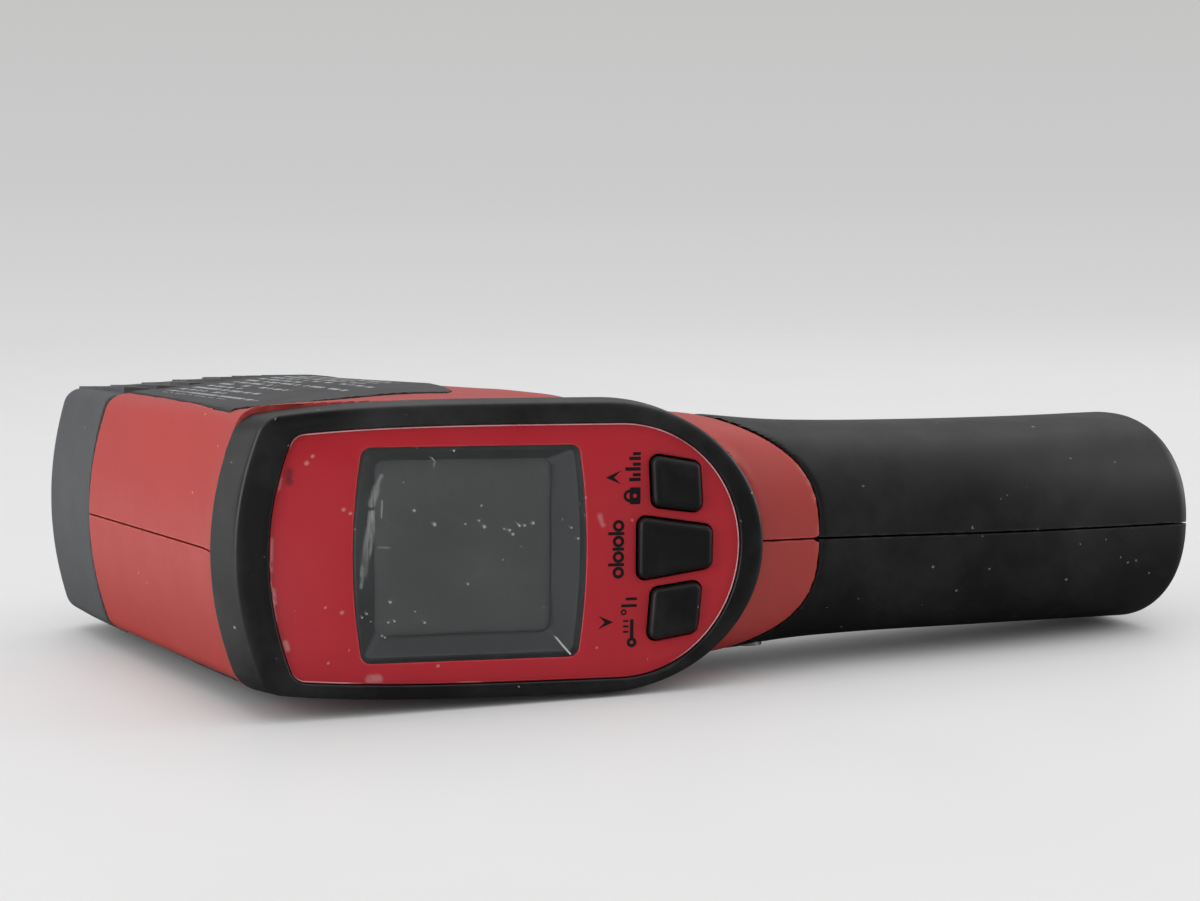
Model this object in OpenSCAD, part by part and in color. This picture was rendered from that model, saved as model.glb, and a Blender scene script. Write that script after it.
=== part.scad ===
// Pistol-grip infrared thermometer, lying on its left side.
// +Y is the aiming direction, +X runs from the head towards the end of the
// handle, +Z is the right side of the body. The origin is the middle of the
// sensing aperture, at the front plane of the nose. Millimetres.

/* [Head] */
// Distance from the lens axis to the top of the head
head_top = 22.8; // [22:0.1:24]
// Half width of the head at its widest
head_half = 20.2; // [19.6:0.1:20.6]
// Length of the soft nose boot
boot_len = 24.6; // [22:0.1:26]
// Wall of the hard shell
wall = 2.0; // [1.6:0.1:2.4]

/* [Panel] */
// Lean of the display panel
panel_tilt = 16; // [14:0.5:18]
// Half width of the bezel
bezel_half = 21.5; // [21:0.1:22]
// Depth of the bezel behind the panel face
bezel_depth = 5; // [4.4:0.1:5.2]

/* [Handle] */
// Backward rake of the handle
handle_rake = 7.2; // [6:0.2:9]
// Length of the handle from the neck to its end
handle_len = 67.6; // [66:0.1:70]
// Thickness of the soft grip cover
cover = 1.0; // [0.8:0.1:1.2]

/* [Optics] */
// Radius of the sensing aperture
aperture_r = 9; // [8.4:0.1:9.4]
// Depth of the sensing aperture
aperture_len = 10; // [9:0.5:11]

/* [Battery] */
// Length of the battery case
battery_l = 46.4; // [46:0.1:46.8]
// Broad side of the battery
battery_w = 26.0; // [25.8:0.1:26.2]
// Narrow side of the battery
battery_t = 16.8; // [16.4:0.1:17]

/* [Hidden] */
$fn = 48;

red = [0.72, 0.19, 0.17];
black = [0.09, 0.09, 0.095];
grey = [0.24, 0.245, 0.25];
steel = [0.75, 0.75, 0.77];
board_green = [0.1, 0.32, 0.17];

panel_origin = [-6, -92];
handle_origin = [64, -92.75];
// x, y of the housing screws, which run along z
screw_places = [[-16.2, -38], [22.0, -44], [58, -95.4]];
trigger_pivot = [40.5, -82];
spring_x = 48.5;
laser_x = -14.2;
lens_r = 7.95;
// hinge of the battery door, in the handle frame
hinge_x = handle_len - 5.2;
hinge_y = 12.9;
// upper end of the battery and its mid-plane, in the handle frame
battery_x = 18;
battery_y = -0.5;

// ---- lofts and frames -----------------------------------------------------
function signed_pow(v, power) = sign(v)*pow(abs(v), power);
function rows(list, first, last) = [for (i = [first:last]) list[i]];

// closed superellipse: reaches low on the -x side, high on the +x side
function section(low, high, half, power, count = 44) = [
  for (i = [0:count-1])
    let(angle = 360*(i + 0.5)/count, reach = cos(angle) > 0 ? high : low)
    [reach*signed_pow(cos(angle), 2/power), half*signed_pow(sin(angle), 2/power)]];

// station = [x, y, direction, low, high, half, power]: a section normal to
// its direction in XY, here as a ring of points
function station_ring(s, inset) = [
  for (q = section(s[3] - inset, s[4] - inset, s[5] - inset, s[6]))
    [s[0] - q[0]*sin(s[2]), s[1] + q[0]*cos(s[2]), q[1]]];

// closed solid through a row of rings with equal point counts
module loft(rings) {
  count = len(rings[0]);
  last = len(rings) - 1;
  polyhedron(
    points = [for (ring = rings) for (p = ring) p],
    convexity = 6,
    faces = concat(
      [[for (j = [0:count-1]) j]],
      [[for (j = [count-1:-1:0]) last*count + j]],
      [for (i = [0:last-1]) for (j = [0:count-1])
        [i*count + j, (i+1)*count + j, (i+1)*count + (j+1)%count]],
      [for (i = [0:last-1]) for (j = [0:count-1])
        [i*count + j, (i+1)*count + (j+1)%count, i*count + (j+1)%count]]));
}
module skin(stations, inset = 0) loft([for (s = stations) station_ring(s, inset)]);

// local z points backwards, starting at a depth behind the nose plane
module aft(depth = 0, x = 0) translate([x, -depth, 0]) rotate([90, 0, 0]) children();

// handle frame: x down the handle, y forward
module handle_frame()
  translate([handle_origin.x, handle_origin.y, 0])
    rotate([0, 0, -handle_rake]) children();

// panel frame: x down the panel, y inwards, z across
module panel_frame()
  translate([panel_origin.x, panel_origin.y, 0])
    rotate([0, 0, -panel_tilt]) children();

// 2D shape in the panel plane, extruded between two depths behind the panel face
module panel_slab(near, far)
  panel_frame() translate([0, far, 0]) rotate([90, 0, 0])
    linear_extrude(far - near) children();

// panel outline points at one depth, in body coordinates
function panel_ring(depth, outline) = [for (p = outline) [
  panel_origin.x + p[0]*cos(panel_tilt) + depth*sin(panel_tilt),
  panel_origin.y - p[0]*sin(panel_tilt) + depth*cos(panel_tilt),
  p[1]]];

module at_screws() for (p = screw_places) translate(p) children();
module pivot_rod(length, radius, sides)
  translate(trigger_pivot) cylinder(h = length, r = radius, center = true, $fn = sides);

// ---- stations of head, nose and handle ------------------------------------
// y, reach below the lens axis, half width, squareness, extra reach at the top
function head_station(y, bottom, half, power, top = 0) =
  [0, y, -90, head_top + top, bottom, half, power];

HEAD = [
  head_station(-boot_len, 25.2, head_half - 0.5, 6),
  head_station(-45, 27.2, head_half - 0.2, 6.5),
  head_station(-62, 30.5, head_half, 7.5),
  head_station(-72, 34, head_half, 8),
  head_station(-76.5, 37, head_half + 0.1, 8, 0.1),
  head_station(-80, 39, head_half + 0.5, 7, 0.9),
  head_station(-82.5, 40, head_half + 1.1, 6, 1.8),
  head_station(-85, 41, head_half + 1.1, 6, 1.6)];
// the hard shell narrows under the boot
NOSE = [
  head_station(-3.4, 22.3, head_half - 3.4, 6, -3.6),
  head_station(-boot_len + 0.4, 22.9, head_half - 2.7, 6, -2.4),
  head_station(-boot_len - 3, 22.9, head_half - 2.7, 6, -2.4)];
BOOT = [
  head_station(-0.01, 22.8, head_half - 2.9, 4.5, -2.9),
  head_station(-1.0, 24, head_half - 1.5, 5, -1.6),
  head_station(-3.0, 24.6, head_half - 0.9, 5.5, -1.0),
  head_station(-14, 24.9, head_half - 0.6, 6, -0.4),
  head_station(-boot_len + 0.5, 25.1, head_half - 0.5, 6, 0)];

// x and y in the handle frame, half depth, half width, squareness
function handle_station(x, y, half_depth, half_width, power = 2.45) = [
  handle_origin.x + x*cos(handle_rake) + y*sin(handle_rake),
  handle_origin.y - x*sin(handle_rake) + y*cos(handle_rake),
  -handle_rake, half_depth, half_depth, half_width, power];

HANDLE = [
  handle_station(-26, -0.4, 14.4, 19.6, 3.4),
  handle_station(-11, -0.1, 14.5, 18.3, 2.8),
  handle_station(0, 0, 14.3, 17.2, 2.65),
  handle_station(14.1, -0.2, 15.3, 16.9, 2.65),
  handle_station(31.4, -0.9, 16.5, 16.9, 2.55),
  handle_station(48.5, -0.8, 16.9, 17.0)];
// outside of the handle, with a rounded-off end
GRIP = concat(HANDLE, [
  handle_station(handle_len - 1.2, 0.1, 17.05, 17.3),
  handle_station(handle_len, 0.1, 16.2, 16.5)]);
// the handle up to a given end; inset by the cover it is the hard core
function core(end) = concat(HANDLE, [handle_station(end, 0.1, 17.0, 17.25)]);
CORE = core(handle_len - cover);
HANDLE_ROOM = concat([
  handle_station(-25, -0.4, 14.4, 19.4, 3.2),
  handle_station(-11, -0.1, 14.5, 18.2, 2.7),
  handle_station(0, 0, 14.3, 17.2, 2.6)],
  rows(HANDLE, 3, 5),
  [handle_station(handle_len - 1.2 - wall, 0.1, 17.05, 17.3)]);

// ---- panel outlines -------------------------------------------------------
// rounded outline about x = mid, reaching up (-x) and down (+x), each end
// with its own squareness; the width tapers towards both ends
function panel_outline(mid, up, down, half, power_up, power_down, taper, count = 72) = [
  for (i = [0:count-1])
    let(angle = 360*(i + 0.5)/count, c = cos(angle),
      x = signed_pow(c, 2/(c > 0 ? power_down : power_up)))
    [mid + (c > 0 ? down : up)*x,
      half*signed_pow(sin(angle), 2/power_down_or_up(c, power_up, power_down))
        *(1 - taper*x*x)]];
function power_down_or_up(c, power_up, power_down) = c > 0 ? power_down : power_up;

// bezel outline, lengthened at the top by extra
function bezel_outline(grow = 0, extra = 0) =
  panel_outline(21, 38.9 + grow + extra, 39.5 + grow, bezel_half + grow, 6, 2.85, 0);
module bezel_shape(grow = 0) polygon(bezel_outline(grow));
module face_shape(grow = 0)
  polygon(panel_outline(19, 32 + grow, 37.7 + grow, 18.7 + grow, 7.2, 3.2, 0.03));

// window: straight sides, upper and lower ends bowed outwards
display_x = 16.1;
window_half_len = 16;
window_half = 15.15;
window_bow = 1.2;
module window_shape(grow = 0) polygon([
  for (side = [1, -1]) for (i = [0:10]) let(across = side*(i - 5)/5)
    [display_x + side*(window_half_len + grow + window_bow*(1 - across*across)),
      (window_half + grow)*across]]);
module display_rect(length, width)
  translate([display_x, 0]) square([length, width], center = true);

// corners of the keys: x down the panel, z across
KEY_UP = [[43.0, 13.6], [50.4, 12.3], [50.9, 5.0], [43.4, 6.0]];
KEY_MODE = [[41.2, 4.5], [52.4, 2.8], [52.4, -3.2], [41.2, -4.9]];
KEY_DOWN = [[43.4, -6.3], [50.9, -5.3], [50.2, -12.8], [42.8, -14.0]];
KEYS = [KEY_UP, KEY_MODE, KEY_DOWN];
key_corner_r = 1.1;
function key_mid(corners) = (corners[0] + corners[1] + corners[2] + corners[3])/4;
// a circle in each corner, moved inwards along the corner's bisector
module key_shape(corners, grow = 0) hull() for (i = [0:3])
  let(here = corners[i],
    before = corners[(i+3)%4] - here,
    after = corners[(i+1)%4] - here,
    inward = before/norm(before) + after/norm(after))
  translate(here + inward/norm(inward)*(key_corner_r - grow)*1.41)
    circle(key_corner_r, $fn = 24);
module panel_openings(window_grow) {
  panel_slab(-1, 4) window_shape(window_grow);
  for (key = KEYS) panel_slab(-1, 4) key_shape(key, 0.3);
}

// x, z of the posts that carry the main board
board_posts = [[-8.5, 14.2], [-8.5, -14.2], [37.0, 15.3], [37.0, -15.3]];
module post_slabs(near, far)
  for (p = board_posts) panel_slab(near, far) translate(p) children();

// ---- solids shared by several pieces --------------------------------------
module bezel_solid(grow = 0, deeper = 0) loft([
  panel_ring(bezel_depth + deeper, bezel_outline(grow + 0.3, 1.6)),
  panel_ring(0.25, bezel_outline(grow)),
  panel_ring(-0.3, bezel_outline(grow - 0.5)),
  panel_ring(-0.5, bezel_outline(grow - 1.3))]);

// flare of the shell up to the bezel
module flare(inset = 0) loft([
  panel_ring(24.5 - inset, bezel_outline(-3 - inset, -1)),
  panel_ring(bezel_depth + 4.5, bezel_outline(-0.6 - inset, -0.6)),
  panel_ring(bezel_depth + 1.2, bezel_outline(0.3 - inset, 1.6)),
  panel_ring(bezel_depth - 2, bezel_outline(0.3 - inset, 1.6))]);

// region that the soft grip covers: beyond a curved line across the neck
module grip_region(grow = 0) difference() {
  translate([20, -130, -40]) cube([130, 70, 80]);
  aft(40) linear_extrude(100) polygon(concat(
    [[-40, -40]],
    [for (z = [-20:20])
      [63.6 - grow - 0.045*z*z - (abs(z) > 17 ? 0.6*(abs(z) - 17) : 0), z]],
    [[-40, 40]]));
}
// side-view line of the neck: the soft cover climbs towards the trigger
module grip_front(grow = 0) translate([0, 0, -40]) linear_extrude(80) polygon([
  [66 - grow, -125], [66 - grow, -106], [56 - grow, -92], [47 - grow, -80],
  [45 - grow, -60], [150, -60], [150, -125]]);

module door_cut(clear = 0) handle_frame()
  translate([4.6 - clear, 2, -13.6 - clear])
    cube([hinge_x - 4.6 + 1.3*clear, 20, 27.2 + 2*clear]);
// cylinders on the door hinge axis between two distances from the mid-plane
module hinge(radius, near, far) handle_frame()
  for (m = [0, 1]) mirror([0, 0, m])
    translate([hinge_x, hinge_y, near]) cylinder(h = far - near, r = radius);
// opening for the battery door and room for it to swing
module door_room() {
  door_cut(0.25);
  hinge(4.15, -0.1, 13.85);
  handle_frame() translate([0, 0, -13.85]) linear_extrude(27.7) polygon([
    [hinge_x - 1, hinge_y], [hinge_x + 3.3, hinge_y + 2.2],
    [hinge_x + 2.2, hinge_y + 4.3], [hinge_x + 2.2, hinge_y + 9],
    [hinge_x - 1, hinge_y + 9]]);
}
module battery_room() handle_frame()
  translate([battery_x - 0.4, battery_y - battery_t/2 - 0.25, -battery_w/2 - 0.25])
    cube([battery_l + 0.8, battery_t + 0.5, battery_w + 0.5]);

module trigger_slot(clear = 0) translate([0, 0, -6.4 - clear])
  linear_extrude(12.8 + 2*clear)
    polygon([[34.5, -50], [33.6, -85], [45, -89.5], [64, -89.5], [62.8, -50]]);

// head room in the left half, then shank clearance, then thread core
module screw_bores() at_screws() {
  translate([0, 0, -30]) cylinder(h = 14.8, r = 3.1, $fn = 24);
  translate([0, 0, -20]) cylinder(h = 19.95, r = 1.75, $fn = 24);
  translate([0, 0, -0.1]) cylinder(h = 10, r = 1.55, $fn = 24);
}

// right (side = 1) or left (side = -1) half, just clear of the mid-plane
module half(side) intersection() {
  translate([-60, -140, side > 0 ? 0.02 : -40.02]) cube([240, 160, 40]);
  children();
}

// ---- housing --------------------------------------------------------------
module cavity() difference() {
  union() {
    skin(concat([head_station(-boot_len - 2, 25.4, head_half - 0.5, 6)],
      rows(HEAD, 1, 4)), wall);
    skin([head_station(-4.6, 22.3, head_half - 3.4, 6, -3.6),
      head_station(-boot_len - 2.6, 22.9, head_half - 2.7, 6, -2.4)], 1.6);
    panel_slab(bezel_depth - 3, 26) bezel_shape(-2.4);
    skin(HANDLE_ROOM, cover + 1.5);
  }
  // ledge that carries the lens tube
  difference() {
    translate([-30, -20, -30]) cube([60, 3, 60]);
    aft(10) cylinder(h = 20, r = 10.75);
    aft(10, laser_x) cylinder(h = 20, r = 2.7);
  }
  // screw posts
  at_screws() translate([0, 0, -30]) cylinder(h = 60, r = 3.4, $fn = 24);
  // posts of the trigger pin
  for (side = [-1, 1]) translate([trigger_pivot.x, trigger_pivot.y, side*12.2])
    cylinder(h = 11.2, r = 3.6, center = true, $fn = 24);
  // bulkhead between neck and battery room
  handle_frame() translate([-0.5, -20, -20]) cube([1.6, 12.5, 40]);
}

module shell() difference() {
  union() {
    difference() {
      union() {
        skin(HEAD);
        flare();
        skin(GRIP);
      }
      // room for the soft cover over the core
      difference() {
        intersection() {
          grip_region();
          grip_front();
          skin(concat(rows(GRIP, 0, 6),
            [handle_station(handle_len + 6, 0.4, 17.3, 17.5)]), -3);
        }
        skin(CORE, cover);
      }
    }
    skin(NOSE);
  }
  cavity();
  // seat of the bezel and everything behind the panel, outside the body
  bezel_solid(0.1, 0.1);
  panel_slab(-30, 0.3) bezel_shape(0.1);
  trigger_slot();
  door_room();
  screw_bores();
  pivot_rod(24.6, 1.56, 32);
  battery_room();
  // mouth of the nose
  aft(-1) cylinder(h = 8, r = 13.4);
}

// ears of the door pin, on arms from the end wall
module ears() difference() {
  intersection() {
    union() {
      hinge(2.3, 7.55, 9.9);
      handle_frame() for (m = [0, 1]) mirror([0, 0, m])
        translate([0, 0, 7.55]) linear_extrude(2.35) polygon([
          [hinge_x, hinge_y - 2.3], [handle_len - 1.6, hinge_y - 2.3],
          [handle_len - 1.6, hinge_y + 0.6], [hinge_x + 2, hinge_y + 0.9],
          [hinge_x + 0.6, hinge_y + 2.1], [hinge_x, hinge_y + 2.2]]);
    }
    skin(CORE, cover);
  }
  hinge(1.015, -0.1, 9.75);
}
module housing(side) color(red) half(side) union() {
  shell();
  ears();
}
module housing_right() housing(1);
module housing_left() housing(-1);

// screws from the left side, with crossed slots in their heads
module housing_screws() color([0.6, 0.6, 0.62]) at_screws() difference() {
  union() {
    translate([0, 0, -15.4]) cylinder(h = 22.4, r = 1.5);
    translate([0, 0, -17.4]) cylinder(h = 2.1, r = 2.8);
  }
  for (angle = [0, 90]) rotate([0, 0, angle])
    translate([-1.6, -0.3, -18]) cube([3.2, 0.6, 1.5]);
}

// ---- soft parts and labels ------------------------------------------------
module grip_cover(side) color(black) half(side) difference() {
  intersection() {
    skin(GRIP);
    grip_region(-0.15);
    grip_front(-0.15);
  }
  skin(core(handle_len - cover + 0.05), cover - 0.05);
  flare(-0.04);
  skin(HEAD, -0.04);
  bezel_solid(0.15, 0.1);
  door_room();
  trigger_slot(0.3);
  screw_bores();
}
module grip_cover_right() grip_cover(1);
module grip_cover_left() grip_cover(-1);

// flat-sided block on the lens axis that fits the nose mouth
module nose_block(depth, length, grow = 0)
  translate([0, -depth, 0]) rotate([-90, 0, 0]) linear_extrude(length)
    polygon(section(18.4 + grow, 19.2 + grow, 14.2 + grow, 4));

// lengthwise rib on one side of the boot
module rib(x, side) aft(0.8, x) linear_extrude(boot_len - 1.6) polygon([
  [-0.2, side*17.5], [0, side*(head_half - 0.2)], [0.25, side*(head_half + 0.15)],
  [5.2, side*(head_half - 0.55)], [5.2, side*17.5]]);
module nose_boot() color(grey) difference() {
  union() {
    skin(BOOT);
    intersection() {
      for (side = [-1, 1]) for (i = [0:6]) rib(-16.4 + 5.6*i, side);
      // the boot made wider and squarer, to end the ribs
      skin([for (s = BOOT) s + [0, 0, 0, 0, 0, 1, 3]]);
    }
  }
  skin(rows(NOSE, 0, 1), -0.05);
  nose_block(3.7, 8, 0.2);
  translate([-40, -boot_len - 5, -40]) cube([80, 5.4, 80]);
}
// flat black plate in the nose mouth
module nose_plate() color(black) difference() {
  nose_block(3.25, 1.6);
  aft(-1) cylinder(h = 8, r = 11.05, $fn = 64);
  aft(-1, laser_x) cylinder(h = 8, r = 2.15);
}

// x, y outline of the side labels
LABEL = [[-15.9, -boot_len - 1.4], [26, -boot_len - 1.4], [26.2, -30], [24.6, -44],
  [21.6, -58], [18.2, -70], [15.2, -79.3], [13.0, -82.2], [6, -80.6], [0, -79.2],
  [-6, -77.6], [-12, -76.0], [-16.4, -74.9], [-18.3, -74.4], [-17.6, -60], [-16.9, -44]];
module side_label(side) color([0.13, 0.13, 0.14]) difference() {
  intersection() {
    skin(rows(HEAD, 0, 5), -0.4);
    translate([0, 0, side > 0 ? 10 : -40]) linear_extrude(30) polygon(LABEL);
  }
  skin(rows(HEAD, 0, 6), -0.05);
}
module side_label_right() side_label(1);
module side_label_left() side_label(-1);

// ---- display panel --------------------------------------------------------
module rear_bezel() color(black) difference() {
  union() {
    difference() {
      bezel_solid();
      panel_slab(-3, 0.62) face_shape(0.15);
      panel_slab(2.6, 9) bezel_shape(-2.2);
    }
    post_slabs(2.5, 10.9) circle(2.3, $fn = 24);
  }
  panel_openings(0.3);
  post_slabs(4.2, 12) circle(1.04, $fn = 24);
}
module faceplate() color([0.63, 0.12, 0.17]) difference() {
  panel_slab(0.12, 0.6) face_shape();
  panel_openings(0.05);
}
module display_window() color([0.75, 0.78, 0.8, 0.35])
  panel_slab(0.15, 1.55) window_shape(-0.05);
// frame with an opening that tapers from the window to the display
module display_frame() color([0.2, 0.2, 0.21]) difference() {
  union() {
    panel_slab(2.65, 5.6) display_rect(37, 34.4);
    panel_slab(1.6, 2.7) window_shape(0.1);
  }
  hull() {
    panel_slab(1.5, 1.52) window_shape(-0.9);
    panel_slab(5.0, 5.02) display_rect(26.4, 25.8);
  }
  panel_slab(5, 6) display_rect(26.4, 25.8);
}
module lcd_module() color([0.26, 0.27, 0.26]) union() {
  panel_slab(5.7, 6.9) display_rect(33, 31);
  panel_slab(6.85, 8.1) display_rect(35, 34);
}
module backlight() color([0.85, 0.86, 0.84]) panel_slab(8.2, 10.9) display_rect(34, 33);
module main_board() color(board_green) difference() {
  panel_slab(11, 12.6) polygon(panel_outline(20, 31.5, 35.5, 17.6, 8, 3.2, 0));
  post_slabs(10, 14) circle(1.15);
}
module board_screws() color([0.7, 0.7, 0.72]) {
  post_slabs(5.4, 12.65) circle(1.0);
  post_slabs(12.62, 13.9) circle(1.9);
}
module tact_switches() color([0.16, 0.16, 0.17]) for (key = KEYS) difference() {
  panel_slab(6.9, 10.95) translate(key_mid(key)) square([6, 6], center = true);
  panel_slab(6, 9.6) translate(key_mid(key)) circle(1.75);
}
module buzzer() color(black) difference() {
  panel_slab(12.65, 18.2) translate([19, 0]) circle(6.2);
  panel_slab(16, 20) translate([19, 0]) circle(1.2);
}
// cap, flange behind the bezel, and stem
module key(corners) color([0.06, 0.06, 0.065]) {
  panel_slab(-1.1, 2.7) key_shape(corners, -0.05);
  panel_slab(2.68, 3.6) key_shape(corners, 0.62);
  panel_slab(3.58, 8.4) translate(key_mid(corners)) circle(1.6);
}
module key_up() key(KEY_UP);
module key_mode() key(KEY_MODE);
module key_down() key(KEY_DOWN);

// ---- optics ---------------------------------------------------------------
// turned tube on the lens axis; its mouth is the sensing aperture
module lens_tube() color([0.1, 0.1, 0.11]) aft() difference() {
  rotate_extrude($fn = 96) polygon([[6.4, 0], [11.0, 0], [11.0, 3.6], [11.5, 3.6],
    [11.5, 5.4], [10.6, 5.4], [10.6, 31], [6.4, 31]]);
  translate([0, 0, -1]) cylinder(h = aperture_len + 1, r = aperture_r, $fn = 96);
  translate([0, 0, aperture_len - 0.1]) cylinder(h = 4, r = 8, $fn = 96);
  translate([0, 0, 5]) cylinder(h = 30, r = 6.5, $fn = 96);
}
module lens_ring() color(black) aft(aperture_len + 0.1) difference() {
  cylinder(h = 1.3, r = lens_r, $fn = 96);
  translate([0, 0, -1]) cylinder(h = 4, r = 6.6, $fn = 96);
}
// shallow plano-convex lens
module ir_lens() color([0.55, 0.6, 0.68]) aft(aperture_len + 1.45) union() {
  translate([0, 0, 0.9]) cylinder(h = 1.5, r = lens_r, $fn = 96);
  intersection() {
    translate([0, 0, 20.6]) sphere(r = 20.5, $fn = 96);
    cylinder(h = 1.2, r = 6.4, $fn = 96);
  }
}
// the four leads of the sensor, or their holes
module sensor_leads(depth, length, radius) aft(depth)
  for (angle = [45:90:315]) rotate([0, 0, angle])
    translate([2.5, 0, 0]) cylinder(h = length, r = radius, $fn = 16);
module thermopile_sensor() color([0.75, 0.76, 0.78]) union() {
  difference() {
    aft(26.4) cylinder(h = 5.2, r = 4.1, $fn = 64);
    aft(26) cylinder(h = 0.8, r = 1.6);
  }
  aft(31.2) cylinder(h = 0.8, r = 4.7, $fn = 64);
  sensor_leads(31.9, 4.6, 0.23);
}
module sensor_board() color(board_green) difference() {
  translate([-13, -35.6, -13]) cube([30, 1.6, 26]);
  sensor_leads(30, 8, 0.3);
}
module laser_module() color([0.78, 0.64, 0.3]) difference() {
  aft(5.6, laser_x) cylinder(h = 17, r = 2.55, $fn = 64);
  aft(4, laser_x) cylinder(h = 3, r = 1.3);
}
module laser_window() color([0.8, 0.2, 0.2, 0.5])
  aft(1.9, laser_x) cylinder(h = 1.2, r = 2.1, $fn = 64);

// ---- trigger --------------------------------------------------------------
// rocker on a steel pin, pulled towards the back of the handle
module trigger() color([0.08, 0.08, 0.085]) difference() {
  translate([0, 0, -6]) linear_extrude(12) polygon(concat(
    [[36.4, -84.8], [36.2, -76]],
    // upper corner, finger curve, lower corner
    [for (i = [0:6]) let(angle = 90*i/6) [38.0 - 1.9*cos(angle), -66.4 + 1.6*sin(angle)]],
    [for (i = [1:14]) let(along = i/14)
      [38.0 + 19.6*along, -64.8 - 4.4*sin(180*pow(along, 0.8)) - 2.2*along]],
    [for (i = [0:6]) let(angle = 90 - 100*i/6)
      [58.6 + 2.2*cos(angle), -69.2 + 2.2*sin(angle)]],
    [[60.4, -74.6], [57.4, -80.6], [46.0, -83.4], [43.2, -85.2]]));
  pivot_rod(30, 1.55, 64);
  // spring pocket
  aft(78.6, spring_x) cylinder(h = 8, r = 2.3);
}
module trigger_pin() color(steel) pivot_rod(24, 1.5, 64);
// helix of short hulled links
module coil(radius, wire_r, pitch, turns, steps = 12)
  for (i = [0:turns*steps-1]) hull() for (j = [0, 1])
    let(angle = 360*(i + j)/steps)
    translate([radius*cos(angle), radius*sin(angle), pitch*(i + j)/steps])
      rotate([0, 0, angle]) rotate([90, 0, 0]) cylinder(h = 0.02, r = wire_r, $fn = 6);
module trigger_spring() color(steel)
  aft(78.9, spring_x) coil(radius = 1.7, wire_r = 0.22, pitch = 1.8, turns = 6);
// small board with the microswitch behind the trigger
module trigger_switch() color([0.14, 0.14, 0.15]) union() {
  translate([44.4, -91.5, -5.6]) cube([17, 1.2, 11.2]);
  translate([52.8, -90.4, -3.2]) cube([8, 4.2, 6.4]);
  translate([55.0, -86.3, -1.2]) cube([2.2, 2.6, 2.4]);
}

// ---- battery room ---------------------------------------------------------
// hinged front of the handle
module battery_door() color(black) difference() {
  union() {
    intersection() {
      skin(GRIP, 0.02);
      door_cut();
      difference() {
        handle_frame() cube([200, 60, 60], center = true);
        skin(CORE, cover + 1.6);
      }
    }
    intersection() {
      skin(GRIP, 0.02);
      hinge(3.9, -0.01, 7.3);
    }
    // ribs that carry the foam pad
    intersection() {
      skin(GRIP, 0.5);
      handle_frame() for (x = [26, 50]) translate([x, 11.4, -6]) cube([2, 8, 12]);
    }
  }
  hinge(2.75, 7.3, 16);
  battery_room();
  hinge_rod(40, 1.05);
}
module hinge_rod(length, radius) handle_frame()
  translate([hinge_x, hinge_y, 0]) cylinder(h = length, r = radius, center = true);
module door_pin() color(steel) hinge_rod(19.3, 1.0);

// the two terminals, rising from x towards the neck, or their sockets
module terminals(x, height, clear = 0)
  for (stud = [[6.3, 2.9], [-6.3, 3.9]]) // z, radius
    translate([x, battery_y, stud[0]]) rotate([0, -90, 0])
      cylinder(h = height, r = stud[1] + clear);
module battery_9v() color([0.32, 0.33, 0.36]) handle_frame() union() {
  translate([battery_x, battery_y - battery_t/2, -battery_w/2])
    cube([battery_l, battery_t, battery_w]);
  terminals(battery_x + 0.1, 2.0);
}
module battery_snap() color([0.1, 0.1, 0.11]) handle_frame() difference() {
  translate([13.9, -7, -12.4]) cube([4.0, 13, 24.8]);
  terminals(battery_x + 0.2, 2.4, 0.1);
}
module wire(path, radius) for (i = [0:len(path)-2])
  hull() for (p = [path[i], path[i+1]]) translate(p) sphere(r = radius, $fn = 12);
module battery_leads() color([0.6, 0.1, 0.1]) for (side = [-1, 1])
  wire([[76.9, -95.6, 4*side], [69, -96.5, 6*side], [62.6, -90.6, 10.6*side],
    [50, -90.2, 12.2*side], [38.0, -90.4, 12.2*side]], 0.65);
module battery_pad() color([0.2, 0.2, 0.21])
  handle_frame() translate([21, 8.4, -7]) cube([36, 2.9, 14]);

housing_right();
housing_left();
grip_cover_right();
grip_cover_left();
nose_boot();
nose_plate();
side_label_right();
side_label_left();
rear_bezel();
faceplate();
display_window();
display_frame();
lcd_module();
backlight();
main_board();
tact_switches();
buzzer();
board_screws();
key_up();
key_mode();
key_down();
lens_tube();
lens_ring();
ir_lens();
thermopile_sensor();
sensor_board();
laser_module();
laser_window();
trigger();
trigger_pin();
trigger_spring();
trigger_switch();
battery_door();
door_pin();
battery_9v();
battery_snap();
battery_leads();
battery_pad();
housing_screws();
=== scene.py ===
"""A pistol-grip infrared thermometer lying on its left side.

Shapes are in millimetres in the row frame: +Y is where it aims, +X runs down to the
handle's end and +Z is its right side. Metres are made when a mesh is written.
Most outer pieces are distance-like fields, negative inside, meshed by dual contouring.
The rear panel's pieces are lofted from rings.
"""
import math

import bmesh
import bpy
import numpy as np
from mathutils import Matrix, Vector
from mathutils.geometry import delaunay_2d_cdt


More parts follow.
